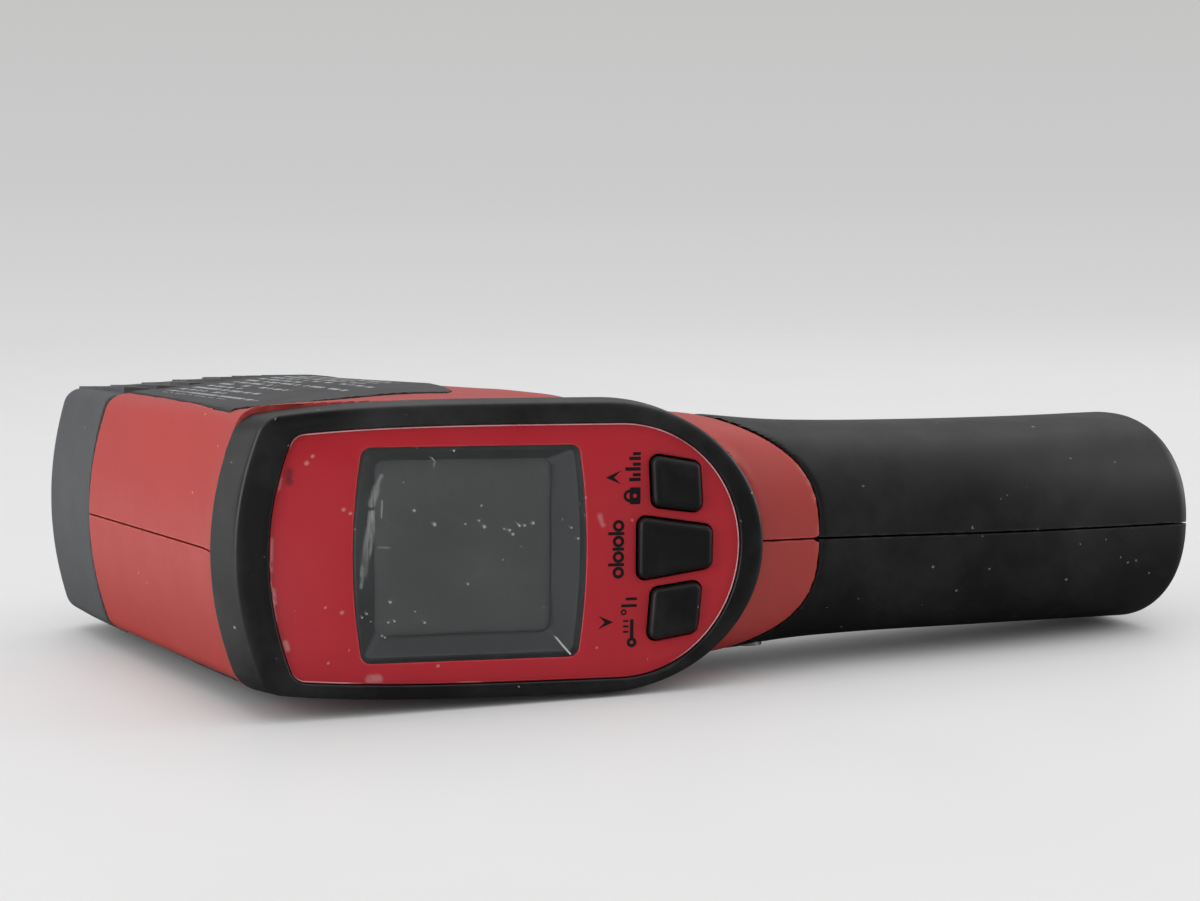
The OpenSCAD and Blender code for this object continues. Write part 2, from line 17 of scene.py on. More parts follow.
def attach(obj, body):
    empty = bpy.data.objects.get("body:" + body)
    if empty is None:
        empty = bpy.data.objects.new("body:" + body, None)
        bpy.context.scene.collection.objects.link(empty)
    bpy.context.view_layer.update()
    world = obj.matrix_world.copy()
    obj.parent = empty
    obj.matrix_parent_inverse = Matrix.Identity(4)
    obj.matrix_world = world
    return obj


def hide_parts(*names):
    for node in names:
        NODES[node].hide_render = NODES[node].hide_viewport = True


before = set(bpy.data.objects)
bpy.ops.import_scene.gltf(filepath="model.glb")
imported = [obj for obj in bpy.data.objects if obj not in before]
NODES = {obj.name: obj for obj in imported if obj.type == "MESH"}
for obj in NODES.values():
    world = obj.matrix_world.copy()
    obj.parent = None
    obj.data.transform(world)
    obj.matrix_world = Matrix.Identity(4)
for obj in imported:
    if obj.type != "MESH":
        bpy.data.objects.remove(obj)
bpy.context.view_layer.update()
CELL = 0.55      # contouring cell, scaled for each piece

# ---------------------------------------------------------------------------
# Frames and driving sizes
# ---------------------------------------------------------------------------
PANEL_X, PANEL_Y = -6.0, -92.0          # origin of the rear panel's frame
PANEL_TILT = math.radians(16.0)
PANEL_COS, PANEL_SIN = math.cos(PANEL_TILT), math.sin(PANEL_TILT)
HANDLE_X, HANDLE_Y = 64.0, -92.75       # origin of the handle's frame
HANDLE_TILT = math.radians(7.2)
HANDLE_COS, HANDLE_SIN = math.cos(HANDLE_TILT), math.sin(HANDLE_TILT)
HANDLE_END = 67.6
HINGE_ALONG, HINGE_ACROSS = HANDLE_END - 5.2, 12.9   # battery door pin, handle frame

WALL = 2.0
NOSE_WALL = 1.6
COVER_WALL = 1.2
LABEL_WALL = 0.9
DOOR_WALL = 2.6
SKIN_START = 5.0                        # panel depth where the outer skin begins
POCKET_DEPTH = 5.1                      # pocket for the bezel
FLARE_DEPTH = 24.5
HEAD_FRONT = -24.62
NOSE_BACK, NOSE_FRONT = -27.6, -3.4
BOOT_BACK = -24.2
DOOR_OPENING = 13.85                    # half widths along z
DOOR_HALF = 13.6
BARREL_HALF = 7.3


def to_panel(x, y):
    """Distance along the panel towards the handle, and depth into the body."""
    across, up = x - PANEL_X, y - PANEL_Y
    return across * PANEL_COS - up * PANEL_SIN, across * PANEL_SIN + up * PANEL_COS


def panel_ring(outline, depth):
    """Points (along, z) on the panel at one depth, in the row frame."""
    along, z = outline[:, 0], outline[:, 1]
    return np.stack([PANEL_X + along * PANEL_COS + depth * PANEL_SIN,
                     PANEL_Y - along * PANEL_SIN + depth * PANEL_COS, z], -1)


def to_handle(x, y):
    """Distance along the handle to its end, and across it towards the front."""
    across, up = x - HANDLE_X, y - HANDLE_Y
    return across * HANDLE_COS - up * HANDLE_SIN, across * HANDLE_SIN + up * HANDLE_COS


# ---------------------------------------------------------------------------
# Field tools
# ---------------------------------------------------------------------------
def soft_min(first, second, blend):
    share = np.maximum(blend - np.abs(first - second), 0.0) / blend
    return np.minimum(first, second) - share * share * blend * 0.25


def soft_max(first, second, blend):
    share = np.maximum(blend - np.abs(first - second), 0.0) / blend
    return np.maximum(first, second) + share * share * blend * 0.25


def radius(first, second):
    return np.sqrt(first ** 2 + second ** 2)


def curve(stations, values, sigma, step=0.2, pad=16.0):
    """A smooth curve through a short list of stations, blurred by sigma."""
    fine = np.arange(stations[0] - pad, stations[-1] + pad + step, step)
    level = np.interp(fine, stations, values)
    reach = int(4 * sigma / step) + 1
    kernel = np.exp(-0.5 * (np.arange(-reach, reach + 1) * step / sigma) ** 2)
    kernel /= kernel.sum()
    level = np.convolve(np.pad(level, reach, mode="edge"), kernel, "valid")
    return lambda place: np.interp(place, fine, level)


def superellipse(x, z, reach_minus, reach_plus, half_width, power):
    """About the distance to a superellipse with its own reach towards -x and +x."""
    reach = np.where(x < 0, reach_minus, reach_plus)
    rel_x = np.abs(x) / reach
    rel_z = np.abs(z) / half_width
    ratio = np.maximum((rel_x ** power + rel_z ** power) ** (1.0 / power), 1e-5)
    slope = np.sqrt(((rel_x / ratio) ** (power - 1) / reach) ** 2
                    + ((rel_z / ratio) ** (power - 1) / half_width) ** 2)
    return (ratio - 1.0) / np.maximum(slope, 1e-5)


def section(x, z, reach_minus, reach_plus, half_width, power, bow, corner, crown, span=21.0):
    """About the distance to a moulded section: towards -x a bowed side with tight
    corners and flanks that draw in by crown over span, towards +x a superellipse."""
    minus_x = np.minimum(x, 0.0)
    end = (bow * z * z - reach_minus - x) / np.sqrt(1 + 4 * bow * bow * z * z)
    rel = (minus_x / span) ** 2
    flank = ((np.abs(z) - half_width + crown * rel * rel)
             / np.sqrt(1 + (4 * crown * rel * minus_x / (span * span)) ** 2))
    minus = (np.minimum(np.maximum(end, flank) + corner, 0)
             + np.sqrt(np.maximum(end + corner, 0) ** 2 + np.maximum(flank + corner, 0) ** 2)
             - corner)
    plus = superellipse(np.maximum(x, 0.0), z, reach_plus, reach_plus, half_width, power)
    return np.where(x < 0, minus, plus)


def polygon(x, y, points):
    """Signed distance to a closed polygon in the x-y plane."""
    x, y = np.broadcast_arrays(x, y)
    nearest = np.full(x.shape, 1e9)
    inside = np.zeros(x.shape, bool)
    for i, (start_x, start_y) in enumerate(points):
        end_x, end_y = points[(i + 1) % len(points)]
        side_x, side_y = end_x - start_x, end_y - start_y
        off_x, off_y = x - start_x, y - start_y
        share = np.clip((off_x * side_x + off_y * side_y)
                        / (side_x * side_x + side_y * side_y), 0, 1)
        nearest = np.minimum(nearest, (off_x - share * side_x) ** 2
                             + (off_y - share * side_y) ** 2)
        if abs(side_y) > 1e-12:
            inside ^= ((start_y > y) != (end_y > y)) & (off_x < off_y * side_x / side_y)
    nearest = np.sqrt(nearest)
    return np.where(inside, -nearest, nearest)


def box(low, high, *coords):
    field = None
    for bottom, top, value in zip(low, high, coords):
        side = np.maximum(bottom - value, value - top)
        field = side if field is None else np.maximum(field, side)
    return field


# ---------------------------------------------------------------------------
# Measured stations. Head and boot run along y, the grip along the handle, the flare
# along panel depth. "top" reaches towards -x, "low" towards +x, "half" is along z.
# ---------------------------------------------------------------------------
HEAD_Y = [-86.0, -85.0, -82.5, -80.0, -76.5, -72.0, -62.0, -45.0, -24.6]
head_top = curve(HEAD_Y, [24.6, 24.6, 24.5, 23.9, 23.25, 23.15, 23.1, 23.1, 23.1], 1.0)
head_low = curve(HEAD_Y, [41.2, 41.0, 40.0, 39.0, 37.0, 34.0, 30.5, 27.2, 25.2], 2.5)
head_half = curve(HEAD_Y, [21.3, 21.3, 21.3, 20.75, 20.3, 20.2, 20.2, 20.0, 19.7], 1.3)
head_power = curve(HEAD_Y, [6, 6, 6, 7, 8, 8, 7.5, 6.5, 6], 3.0)
GRIP_ALONG = [-26.0, -11.0, 0.0, 14.1, 31.4, 48.5, 66.4]
grip_reach = curve(GRIP_ALONG, [14.4, 14.5, 14.3, 15.3, 16.5, 16.9, 17.05], 4.0)
grip_half = curve(GRIP_ALONG, [19.5, 18.15, 17.0, 16.6, 16.55, 16.65, 16.95], 4.0)
grip_shift = curve(GRIP_ALONG, [-0.4, -0.1, 0, -0.2, -0.9, -0.8, 0.1], 4.0)
grip_power = curve(GRIP_ALONG, [3.4, 2.8, 2.65, 2.65, 2.55, 2.45, 2.45], 4.0)
FLARE_STATIONS = [0.0, 5.5, 6.4, 9.5, 24.5]
flare_grow = curve(FLARE_STATIONS, [0.0, 0.0, 0.0, -0.6, -2.6], 0.6)
flare_top = curve(FLARE_STATIONS, [2.1, 2.1, 1.8, -0.4, -1.0], 0.6)
BOOT_Y = [-24.2, -14.0, -3.0, -1.0, 0.0]
boot_top = curve(BOOT_Y, [22.9, 22.5, 21.9, 21.4, 20.5], 0.5)
boot_low = curve(BOOT_Y, [25.1, 24.9, 24.6, 24.1, 23.2], 0.5)
boot_half = curve(BOOT_Y, [19.7, 19.6, 19.3, 18.8, 17.8], 0.5)
boot_power = curve(BOOT_Y, [6, 6, 5.5, 5, 4.6], 1.0)

# (x, y) centres of the round screw recesses in the left side
SCREWS = [(-16.2, -38.0), (22.0, -44.0), (58.0, -95.4)]
# (x, y) outline of the side labels
LABEL = [(-15.9, -26.0), (26, -26.0), (26.2, -30), (24.6, -44), (21.6, -58), (18.2, -70),
         (15.2, -79.3), (13.0, -82.2), (6, -80.6), (0, -79.2), (-6, -77.6), (-12, -76.0),
         (-16.4, -74.9), (-18.3, -74.4), (-17.6, -60), (-16.9, -44)]
# (x, y) outline of the trigger's slot
SLOT = [(34.5, -50.0), (33.6, -85.0), (45, -89.5), (64, -89.5), (62.8, -50)]


def trigger_outline():
    """(x, y): rounded upper front corner, hollow finger side, rounded tip, back."""
    upper = [math.radians(90 * i / 6) for i in range(7)]
    finger = [i / 14 for i in range(1, 15)]
    tip = [math.radians(90 - 100 * i / 6) for i in range(7)]
    points = [(36.4, -84.8), (36.2, -76)]
    points += [(38.0 - 1.9 * math.cos(a), -66.4 + 1.6 * math.sin(a)) for a in upper]
    points += [(38.0 + 19.6 * q, -64.8 - 4.4 * math.sin(math.pi * q ** 0.8) - 2.2 * q)
               for q in finger]
    points += [(58.6 + 2.2 * math.cos(a), -69.2 + 2.2 * math.sin(a)) for a in tip]
    return points + [(60.4, -74.6), (57.4, -80.6), (46.0, -83.4), (43.2, -85.2)]


TRIGGER = trigger_outline()


# ---------------------------------------------------------------------------
# Skins shared by several pieces
# ---------------------------------------------------------------------------
def swell(x, y, z, right=1.8):
    """The flanks stand out a little towards the handle, more on the right."""
    a = np.clip((x + 15.0) / 26.0, 0, 1)
    b = np.clip((y + 90.0) / 17.0, 0, 1)
    c = np.clip((y + 82.0) / 6.0, 0, 1)
    left = np.clip(-z / 15.0, 0, 1)
    return (np.where(z > 0, right, 0.45) * a * a * (3 - 2 * a) * b * b * (3 - 2 * b)
            - 0.95 * left * (1 - c * c * (3 - 2 * c)))


def head_skin(x, y, z):
    place = np.clip(y, -92.0, -20.0)
    return section(x, z, head_top(place), head_low(place), head_half(place) + swell(x, y, z),
                   head_power(place), 0.0103, 1.9, 0.75)


def panel_outline(along, z, top=0.0):
    return section(along - 36.0, z, 53.9 + top, 24.55, 21.5, 2.0, 0.0109, 2.0, 1.6, 48.5)


def face_outline(along, z):
    z = np.where(z < 0, z / 1.055, z)
    return section(along - 38.5, z, 51.4, 18.3, 18.25, 2.0, 0.0122, 1.2, 1.1, 47.5)


def flare_skin(along, depth, z):
    return (panel_outline(along, z, flare_top(depth)) - flare_grow(depth)
            + 0.45 * np.clip(-z / 15.0, 0, 1))


def bezel_pocket(x, y, z, gap):
    """Room for the bezel, whose outer wall spreads with depth."""
    along, depth = to_panel(x, y)
    share = np.clip((depth - 0.25) / 4.75, 0, 1)
    wall = panel_outline(along, z, 2.5 * share) - 0.3 * share - gap
    return np.maximum(wall, depth - POCKET_DEPTH)


def handle_skin(x, y, z):
    along, across = to_handle(x, y)
    place = np.clip(along, -30, 70)
    reach = grip_reach(place)
    tube = superellipse(across - grip_shift(place), z, reach, reach, grip_half(place),
                        grip_power(place))
    return soft_max(tube, along - HANDLE_END - 0.9 + 0.0098 * z * z, 2.2)


def body_skins(x, y, z):
    """The outer skin, and the same skin running on to the panel, for the cavity."""
    along, depth = to_panel(x, y)
    head = soft_max(head_skin(x, y, z), y - HEAD_FRONT, 1.5)
    flare = np.maximum(flare_skin(along, depth, z), depth - FLARE_DEPTH)
    handle = np.maximum(handle_skin(x, y, z), -26.0 - to_handle(x, y)[0])
    cut = SKIN_START - depth
    outer = soft_min(np.maximum(head, cut), np.maximum(flare, cut), 1.4)
    return soft_min(outer, handle, 2.2), soft_min(soft_min(head, flare, 1.4), handle, 2.2)


def nose_skin(x, y, z):
    place = np.clip(y, NOSE_BACK, NOSE_FRONT)
    share = np.clip((place + 24.2) / 20.8, 0, 1)
    tube = superellipse(x, z, 20.4 - 1.2 * share, 22.9 - 0.6 * share, 17.5 - 0.7 * share, 6.0)
    return np.maximum(np.maximum(tube, y - NOSE_FRONT), NOSE_BACK - y)


def grip_area(x, y, z):
    """Negative where the soft cover lies."""
    side = np.abs(z)
    square = np.minimum(side, 18.5) ** 2
    edge = 63.6 - 0.0095 * square - 0.000085 * square * square
    front = np.interp(y, [-125, -100, -92, -80, -60], [40, 46, 50, 47, 45])
    arched = (edge - x) / np.sqrt(1 + (0.019 * side + 0.00034 * side ** 3) ** 2)
    return soft_max(arched, (front - x) * 0.9, 1.5)


def openings(x, y, z, gap):
    """Everything cut out of shell and cover; gap widens the trigger slot."""
    along, across = to_handle(x, y)
    side = np.abs(z)
    slot = np.maximum(polygon(x, y, SLOT) - gap, side - 6.4 - gap)
    doorway = np.maximum(box((4.35, 2.0), (HINGE_ALONG + 0.3, 40.0), along, across),
                         side - DOOR_OPENING)
    reach = np.where(side < 7.7, 4.15, np.clip(3.4 - 0.5 * (side - 7.7), 0.6, 3.4))
    barrel = np.maximum(radius(along - HINGE_ALONG, across - HINGE_ACROSS) - reach,
                        side - DOOR_OPENING)
    swing = box((HINGE_ALONG - 1, HINGE_ACROSS + 0.2), (HINGE_ALONG + 2.6, HINGE_ACROSS + 9),
                along, across)
    swing = np.maximum(swing, side - 7.7)
    field = np.minimum(np.minimum(slot, doorway), np.minimum(barrel, swing))
    for screw_x, screw_y in SCREWS:
        recess = np.maximum(radius(x - screw_x, y - screw_y) - 3.1, z + 15.2)
        field = np.minimum(field, np.maximum(recess, -16.4 - x))
    return field


# ---------------------------------------------------------------------------
# Fields of the moulded pieces; side is 1 for the right half and -1 for the left
# ---------------------------------------------------------------------------
def housing(x, y, z, side):
    skin, core = body_skins(x, y, z)
    grip = grip_area(x, y, z)
    field = np.maximum(skin, -(core + WALL))
    nose = nose_skin(x, y, z)
    field = np.minimum(field, np.maximum(nose, -(nose + NOSE_WALL)))
    field = soft_max(field, -bezel_pocket(x, y, z, 0.22), 0.5)
    # step down under the soft cover
    field = soft_max(field, np.minimum(-grip, skin + 1.3), 0.55)
    field = soft_max(field, -openings(x, y, z, 0.0), 0.35)
    label = np.maximum(polygon(x, y, LABEL) - 0.12, 16.7 - np.abs(z))
    label = np.maximum(label, -(head_skin(x, y, z) + 1.0))
    field = soft_max(field, -label, 0.25)
    # round bore in the nose
    field = soft_max(field, -np.maximum(radius(x, z) - 13.4, -30.0 - y), 0.3)
    # the halves part by a fine seam, wider at the skin and under the cover
    seam = np.where(grip < 0.6, 0.55, 0.15 - 0.125 * np.clip((-skin - 0.5) / 0.6, 0, 1))
    return soft_max(field, seam - z * side, 0.12)


def cover(x, y, z, side):
    skin = body_skins(x, y, z)[0]
    field = np.maximum(skin - 0.03, -(skin + COVER_WALL))
    field = soft_max(field, grip_area(x, y, z) + 0.2, 0.9)
    field = np.maximum(field, -bezel_pocket(x, y, z, 0.3))
    field = soft_max(field, -openings(x, y, z, 0.3), 0.5)
    return soft_max(field, 0.17 - z * side, 0.14)


def boot_ribs(x, y, z):
    """Seven broad pads a side, each stepped like a saw tooth along x."""
    i = np.clip(np.floor((x + 16.4) / 5.6), 0, 6)
    offset = x + 16.4 - 5.6 * i
    height = 20.5 - 0.11 * offset - 0.055 * (y + 24.0) + swell(x, -60.0, z, 1.2)
    field = np.maximum(np.abs(z) - height, np.maximum(-offset + 0.1, offset - 5.35))
    return np.maximum(field, np.maximum(y + 1.2, -23.7 - y))


def boot(x, y, z):
    place = np.clip(y, BOOT_BACK, 0.0)
    bulge = swell(x, -60.0, z, 1.2)
    top, low, half, power = (f(place) for f in (boot_top, boot_low, boot_half, boot_power))
    shape = section(x, z, top, low, half + bulge * 0.8, power, 0.009, 1.6, 0.8)
    field = soft_max(shape, y, 1.6)
    limit = section(x, z, top - 0.05, low - 0.05, half + 1.05 + bulge, power + 4,
                    0.009, 1.2, 0.5)
    ribs = soft_max(boot_ribs(x, y, z), soft_max(limit, y + 0.7, 1.5), 0.5)
    field = soft_min(field, ribs, 0.25)
    field = soft_max(field, BOOT_BACK - y, 1.0)
    # room for the nose, then the mouth
    field = np.maximum(field, -(np.maximum(superellipse(x, z, 20.5, 22.95, 17.6, 6.0),
                                           y + 3.35)))
    mouth = np.maximum(superellipse(x, z, 18.6, 19.4, 14.4, 4.0), -3.7 - y)
    return soft_max(field, -mouth, 0.8)


def side_label(x, y, z, side):
    skin = head_skin(x, y, z)
    field = soft_max(skin - 0.3, polygon(x, y, LABEL), 0.35)
    field = np.maximum(field, -(skin + LABEL_WALL))
    return soft_max(field, 16.8 - z * side, 0.3)


def door(x, y, z):
    along, across = to_handle(x, y)
    skin = handle_skin(x, y, z)
    side = np.abs(z)
    from_pin = radius(along - HINGE_ALONG, across - HINGE_ACROSS)
    leaf = soft_max(np.maximum(skin - 0.02, -(skin + DOOR_WALL)),
                    box((4.6, 2.25, -DOOR_HALF), (HINGE_ALONG, 40.0, DOOR_HALF),
                        along, across, z), 0.5)
    barrel = np.maximum(from_pin - 3.9, side - BARREL_HALF)
    field = np.minimum(leaf, np.maximum(barrel, skin))
    field = np.maximum(field, -np.maximum(from_pin - 2.75, BARREL_HALF - side))
    # room for the battery
    field = np.maximum(field, -box((17.6, -9.15, -13.25), (64.8, 8.15, 13.25),
                                   along, across, z))
    # finger notch: three shallow grooves near the free end
    for i in range(3):
        groove = radius(along - 9.0 - 2.6 * i, skin) - 0.75
        field = soft_max(field, -np.maximum(groove, side - 7.5), 0.3)
    return field


def trigger(x, y, z):
    field = soft_max(polygon(x, y, TRIGGER), np.abs(z) - 6.0, 1.8)
    field = np.maximum(field, -(radius(x - 40.5, y + 82) - 1.55))      # pin hole
    return np.maximum(field, -np.maximum(radius(x - 48.5, z) - 2.95, y + 77.1))   # spring


# ---------------------------------------------------------------------------
# Dual contouring: one vertex per crossed cell, placed by the surface's own
# points and normals, so that creases stay crisp.
# ---------------------------------------------------------------------------
BLOCK = 4               # grid points along a side of a coarse block
CHUNK = 200000          # points evaluated at once
GRADIENT_STEP = 0.01
TETRAHEDRON = np.array([[1, -1, -1], [-1, -1, 1], [-1, 1, -1], [1, 1, 1]], float)
UNIT = np.eye(3, dtype=int)


def gradient_sum(field, points):
    """The gradient times four steps, from the corners of a small tetrahedron."""
    total = np.zeros_like(points)
    for corner in TETRAHEDRON:
        total += field(*(points + GRADIENT_STEP * corner).T)[:, None] * corner
    return total


def sample_grid(field, low, high, cell):
    """Field values on a grid, exact only in the blocks near the surface."""
    blocks = np.ceil((high - low) / (cell * BLOCK)).astype(int) + 1
    middles = [low[i] + cell * (BLOCK * np.arange(blocks[i]) + (BLOCK - 1) / 2)
               for i in range(3)]
    coarse = field(*np.ix_(*middles))
    values = np.where(coarse < 0, -9.0, 9.0)
    for axis in range(3):
        values = np.repeat(values, BLOCK, axis)
    near = np.abs(coarse) < 1.45 * 0.5 * math.sqrt(3) * BLOCK * cell
    starts = np.argwhere(near) * BLOCK
    offsets = np.stack(np.meshgrid(*[np.arange(BLOCK)] * 3, indexing="ij"), -1).reshape(-1, 3)
    ids = (starts[:, None, :] + offsets[None]).reshape(-1, 3)
    for i in range(0, len(ids), CHUNK):
        part = ids[i:i + CHUNK]
        values[tuple(part.T)] = field(*(low + cell * part).T)
    return values


def crossings(field, values, low, cell, axis):
    """Crossed grid edges along an axis: their starts, the crossings, start inside or not."""
    inside = values < 0
    others = [(axis + 1) % 3, (axis + 2) % 3]
    starts = np.argwhere(np.diff(inside, axis=axis))
    within = ((starts[:, others] > 0)
              & (starts[:, others] < np.array(values.shape)[others] - 1))
    starts = starts[within.all(1)]
    origin = low + cell * starts

    def point(share):
        points = origin.copy()
        points[:, axis] += cell * share
        return points

    near, far = np.zeros(len(starts)), np.ones(len(starts))
    near_value = values[tuple(starts.T)]
    far_value = values[tuple((starts + UNIT[axis]).T)]
    for _ in range(4):
        cut = near - near_value * (far - near) / (far_value - near_value + 1e-30)
        cut = np.clip(cut, near + 0.02 * (far - near), far - 0.02 * (far - near))
        value = field(*point(cut).T)
        same = (value < 0) == (near_value < 0)
        near, near_value = np.where(same, cut, near), np.where(same, value, near_value)
        far, far_value = np.where(same, far, cut), np.where(same, far_value, value)
    cut = near - near_value * (far - near) / (far_value - near_value + 1e-30)
    return starts, point(cut), inside[tuple(starts.T)]


def contour(field, low, high, cell):
    """Points and quads of the field's zero surface."""
    low, high = np.array(low, float), np.array(high, float)
    values = sample_grid(field, low, high, cell)
    cells = tuple(np.array(values.shape) - 1)
    points, rings, quads = [], [], []
    for axis in range(3):
        starts, crossing, start_inside = crossings(field, values, low, cell, axis)
        second, third = UNIT[(axis + 1) % 3], UNIT[(axis + 2) % 3]
        ring = np.stack([
            np.ravel_multi_index(tuple((starts + i * second + j * third).T), cells)
            for i, j in ((-1, -1), (0, -1), (0, 0), (-1, 0))], 1)
        points.append(crossing)
        rings.append(ring)
        quads.append(np.where(start_inside[:, None], ring, ring[:, ::-1]))
    points = np.concatenate(points)
    normals = gradient_sum(field, points)
    normals /= np.maximum(np.linalg.norm(normals, axis=1, keepdims=True), 1e-12)
    edge = np.repeat(np.arange(len(points)), 4)
    used, owner = np.unique(np.concatenate(rings).ravel(), return_inverse=True)
    count = len(used)

    def total(amount):
        return np.bincount(owner, amount, count)

    # least squares: the point closest to every crossing's tangent plane
    share = np.bincount(owner, minlength=count).astype(float)
    middle = np.stack([total(points[edge, i]) for i in range(3)], 1) / share[:, None]
    offset = np.einsum("ij,ij->i", normals[edge], points[edge] - middle[owner])
    matrix = np.zeros((count, 3, 3))
    target = np.zeros((count, 3))
    for i in range(3):
        for j in range(i, 3):
            matrix[:, i, j] = total(normals[edge, i] * normals[edge, j])
            matrix[:, j, i] = matrix[:, i, j]
        target[:, i] = total(normals[edge, i] * offset)
    size, basis = np.linalg.eigh(matrix)
    keep = size > 0.06 * size[:, 2:3]
    inverse = np.where(keep, 1.0 / np.maximum(size, 1e-9), 0.0)
    move = np.einsum("nij,nj->ni", basis, inverse * np.einsum("nji,nj->ni", basis, target))
    corner = low + cell * np.stack(np.unravel_index(used, cells), 1)
    vertices = np.clip(middle + move, corner + 0.02 * cell, corner + 0.98 * cell)
    # vertices on smooth ground are drawn on to the surface
    smooth = keep.sum(1) < 2
    for _ in range(2):
        loose = vertices[smooth]
        value = field(*loose.T)
        slope = gradient_sum(field, loose)
        slope /= 4 * GRADIENT_STEP
        step = -value[:, None] * slope / np.maximum((slope * slope).sum(1, keepdims=True), 1e-6)
        length = np.linalg.norm(step, axis=1, keepdims=True)
        vertices[smooth] = loose + step * np.minimum(1.0, 0.25 * cell / np.maximum(length, 1e-9))
    return vertices, np.searchsorted(used, np.concatenate(quads))


# ---------------------------------------------------------------------------
# Objects
# ---------------------------------------------------------------------------
MATERIALS = {}          # by name


def add_object(mesh, material, slot, sharp, body="root", replaces=None):
    """Finishes a mesh and adds it; edges above sharp degrees stay crisp."""
    mesh.validate()
    mesh.polygons.foreach_set("use_smooth", np.ones(len(mesh.polygons), bool))
    mesh.set_sharp_from_angle(angle=math.radians(sharp))
    thing = bpy.data.objects.new(mesh.name, mesh)
    bpy.context.scene.collection.objects.link(thing)
    mesh.materials.append(MATERIALS[material])
    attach(thing, body)
    if replaces:
        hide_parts(replaces)


def moulded(name, field, low, high, cell_scale, material, slot, **told):
    points, quads = contour(field, low, high, CELL * cell_scale)
    mesh = bpy.data.meshes.new(name)
    mesh.vertices.add(len(points))
    mesh.vertices.foreach_set("co", (points / 1000.0).astype(np.float32).ravel())
    mesh.loops.add(len(quads) * 4)
    mesh.loops.foreach_set("vertex_index", quads.astype(np.int32).ravel())
    mesh.polygons.add(len(quads))
    mesh.polygons.foreach_set("loop_start", (np.arange(len(quads)) * 4).astype(np.int32))
    mesh.update(calc_edges=True)
    add_object(mesh, material, slot, 32, **told)


def moulded_pair(name, field, low, high, cell_scale, material, slot, replaces):
    """The right piece, then the left one in the mirrored box."""
    for side, word in ((1, "right"), (-1, "left")):
        bottom, top = (low[2], high[2]) if side > 0 else (-high[2], -low[2])
        moulded(f"{name}_{word}", lambda x, y, z: field(x, y, z, side),
                (low[0], low[1], bottom), (high[0], high[1], top), cell_scale,
                material, slot, replaces=f"{replaces}_{word}")


def add_lofted(name, points, faces, material, slot, sharp, **told):
    """A mesh from points and a list of faces, all turned outwards."""
    mesh = bpy.data.meshes.new(name)
    points = np.asarray(points, float) / 1000.0
    mesh.from_pydata([tuple(p) for p in points], [], [tuple(int(i) for i in f) for f in faces])
    mesh.update()
    add_object(mesh, material, slot, sharp, **told)
    work = bmesh.new()
    work.from_mesh(mesh)
    bmesh.ops.recalc_face_normals(work, faces=work.faces)
    work.to_mesh(mesh)
    work.free()


# ---------------------------------------------------------------------------
# Outlines and lofts in the panel's (along, z) plane
# ---------------------------------------------------------------------------
def trace(field, angles, grow, centre=21.0):
    """The level grow of a field, met by rays from (centre, 0)."""
    near, far = np.zeros(len(angles)), np.full(len(angles), 70.0)
    for _ in range(42):
        middle = 0.5 * (near + far)
        value = field(centre + middle * np.cos(angles), middle * np.sin(angles)) - grow
        near, far = np.where(value < 0, middle, near), np.where(value < 0, far, middle)
    return np.stack([centre + near * np.cos(angles), near * np.sin(angles)], -1)


def bezel_loop(angles, grow=0.0, top=0.0):
    return trace(lambda along, z: panel_outline(along, z, top), angles, grow)


def face_loop(angles, grow=0.0):
    return trace(face_outline, angles, grow)


def even_angles(loop, count):
    """Angles that space the points evenly, closer where the outline turns."""
    angles = np.linspace(0, 2 * math.pi, 24001)
    steps = np.diff(loop(angles), axis=0)
    heading = np.unwrap(np.arctan2(steps[:, 1], steps[:, 0]))
    turning = np.abs(np.r_[0, np.diff(heading)])
    weight = np.r_[0, np.cumsum(np.linalg.norm(steps, axis=1) + 5.0 * turning)]
    return np.interp(np.linspace(0, weight[-1], count, endpoint=False) + 0.01, weight, angles)


def rounded(corners, corner_radius, grow=0.0, arc=7, side=6, bulge=None):
    """A rounded polygon grown outwards, with the same point count for every growth."""
    corners = np.array(corners, float)
    count = len(corners)
    area = 0.5 * sum(corners[i][0] * corners[(i + 1) % count][1]
                     - corners[(i + 1) % count][0] * corners[i][1] for i in range(count))
    sign = 1.0 if area > 0 else -1.0
    starts, ways, outs = [], [], []
    for i in range(count):
        start, end = corners[i], corners[(i + 1) % count]
        way = (end - start) / np.linalg.norm(end - start)
        out = np.array([way[1], -way[0]]) * sign
        starts.append(start + out * grow)
        ways.append(way)
        outs.append(out)
    grown, halves = [], []
    for i in range(count):
        reach = np.linalg.solve(np.array([ways[i - 1], -ways[i]]).T, starts[i] - starts[i - 1])
        grown.append(starts[i - 1] + ways[i - 1] * reach[0])
        halves.append(math.acos(max(-1, min(1, float(-ways[i - 1] @ ways[i])))) / 2)
    turn = max(corner_radius + grow, 0.15)
    points = []
    for i in range(count):
        back, ahead = -ways[i - 1], ways[i]
        trim = turn / math.tan(halves[i])
        middle = (back + ahead) / np.linalg.norm(back + ahead)
        centre = grown[i] + middle * turn / math.sin(halves[i])
        first, last = grown[i] + back * trim, grown[i] + ahead * trim
        angle = math.atan2(*(first - centre)[::-1])
        sweep = math.atan2(*(last - centre)[::-1])
        sweep = (sweep - angle + math.pi) % (2 * math.pi) - math.pi
        for k in range(arc):
            here = angle + sweep * k / (arc - 1)
            points.append(centre + turn * np.array([math.cos(here), math.sin(here)]))
        after = (i + 1) % count
        end = grown[after] + -ways[i] * turn / math.tan(halves[after])
        for k in range(1, side):
            share = k / side
            point = last + (end - last) * share
            if bulge:
                point = point + outs[i] * bulge[i] * 4 * share * (1 - share)
            points.append(point)
    return np.array(points)


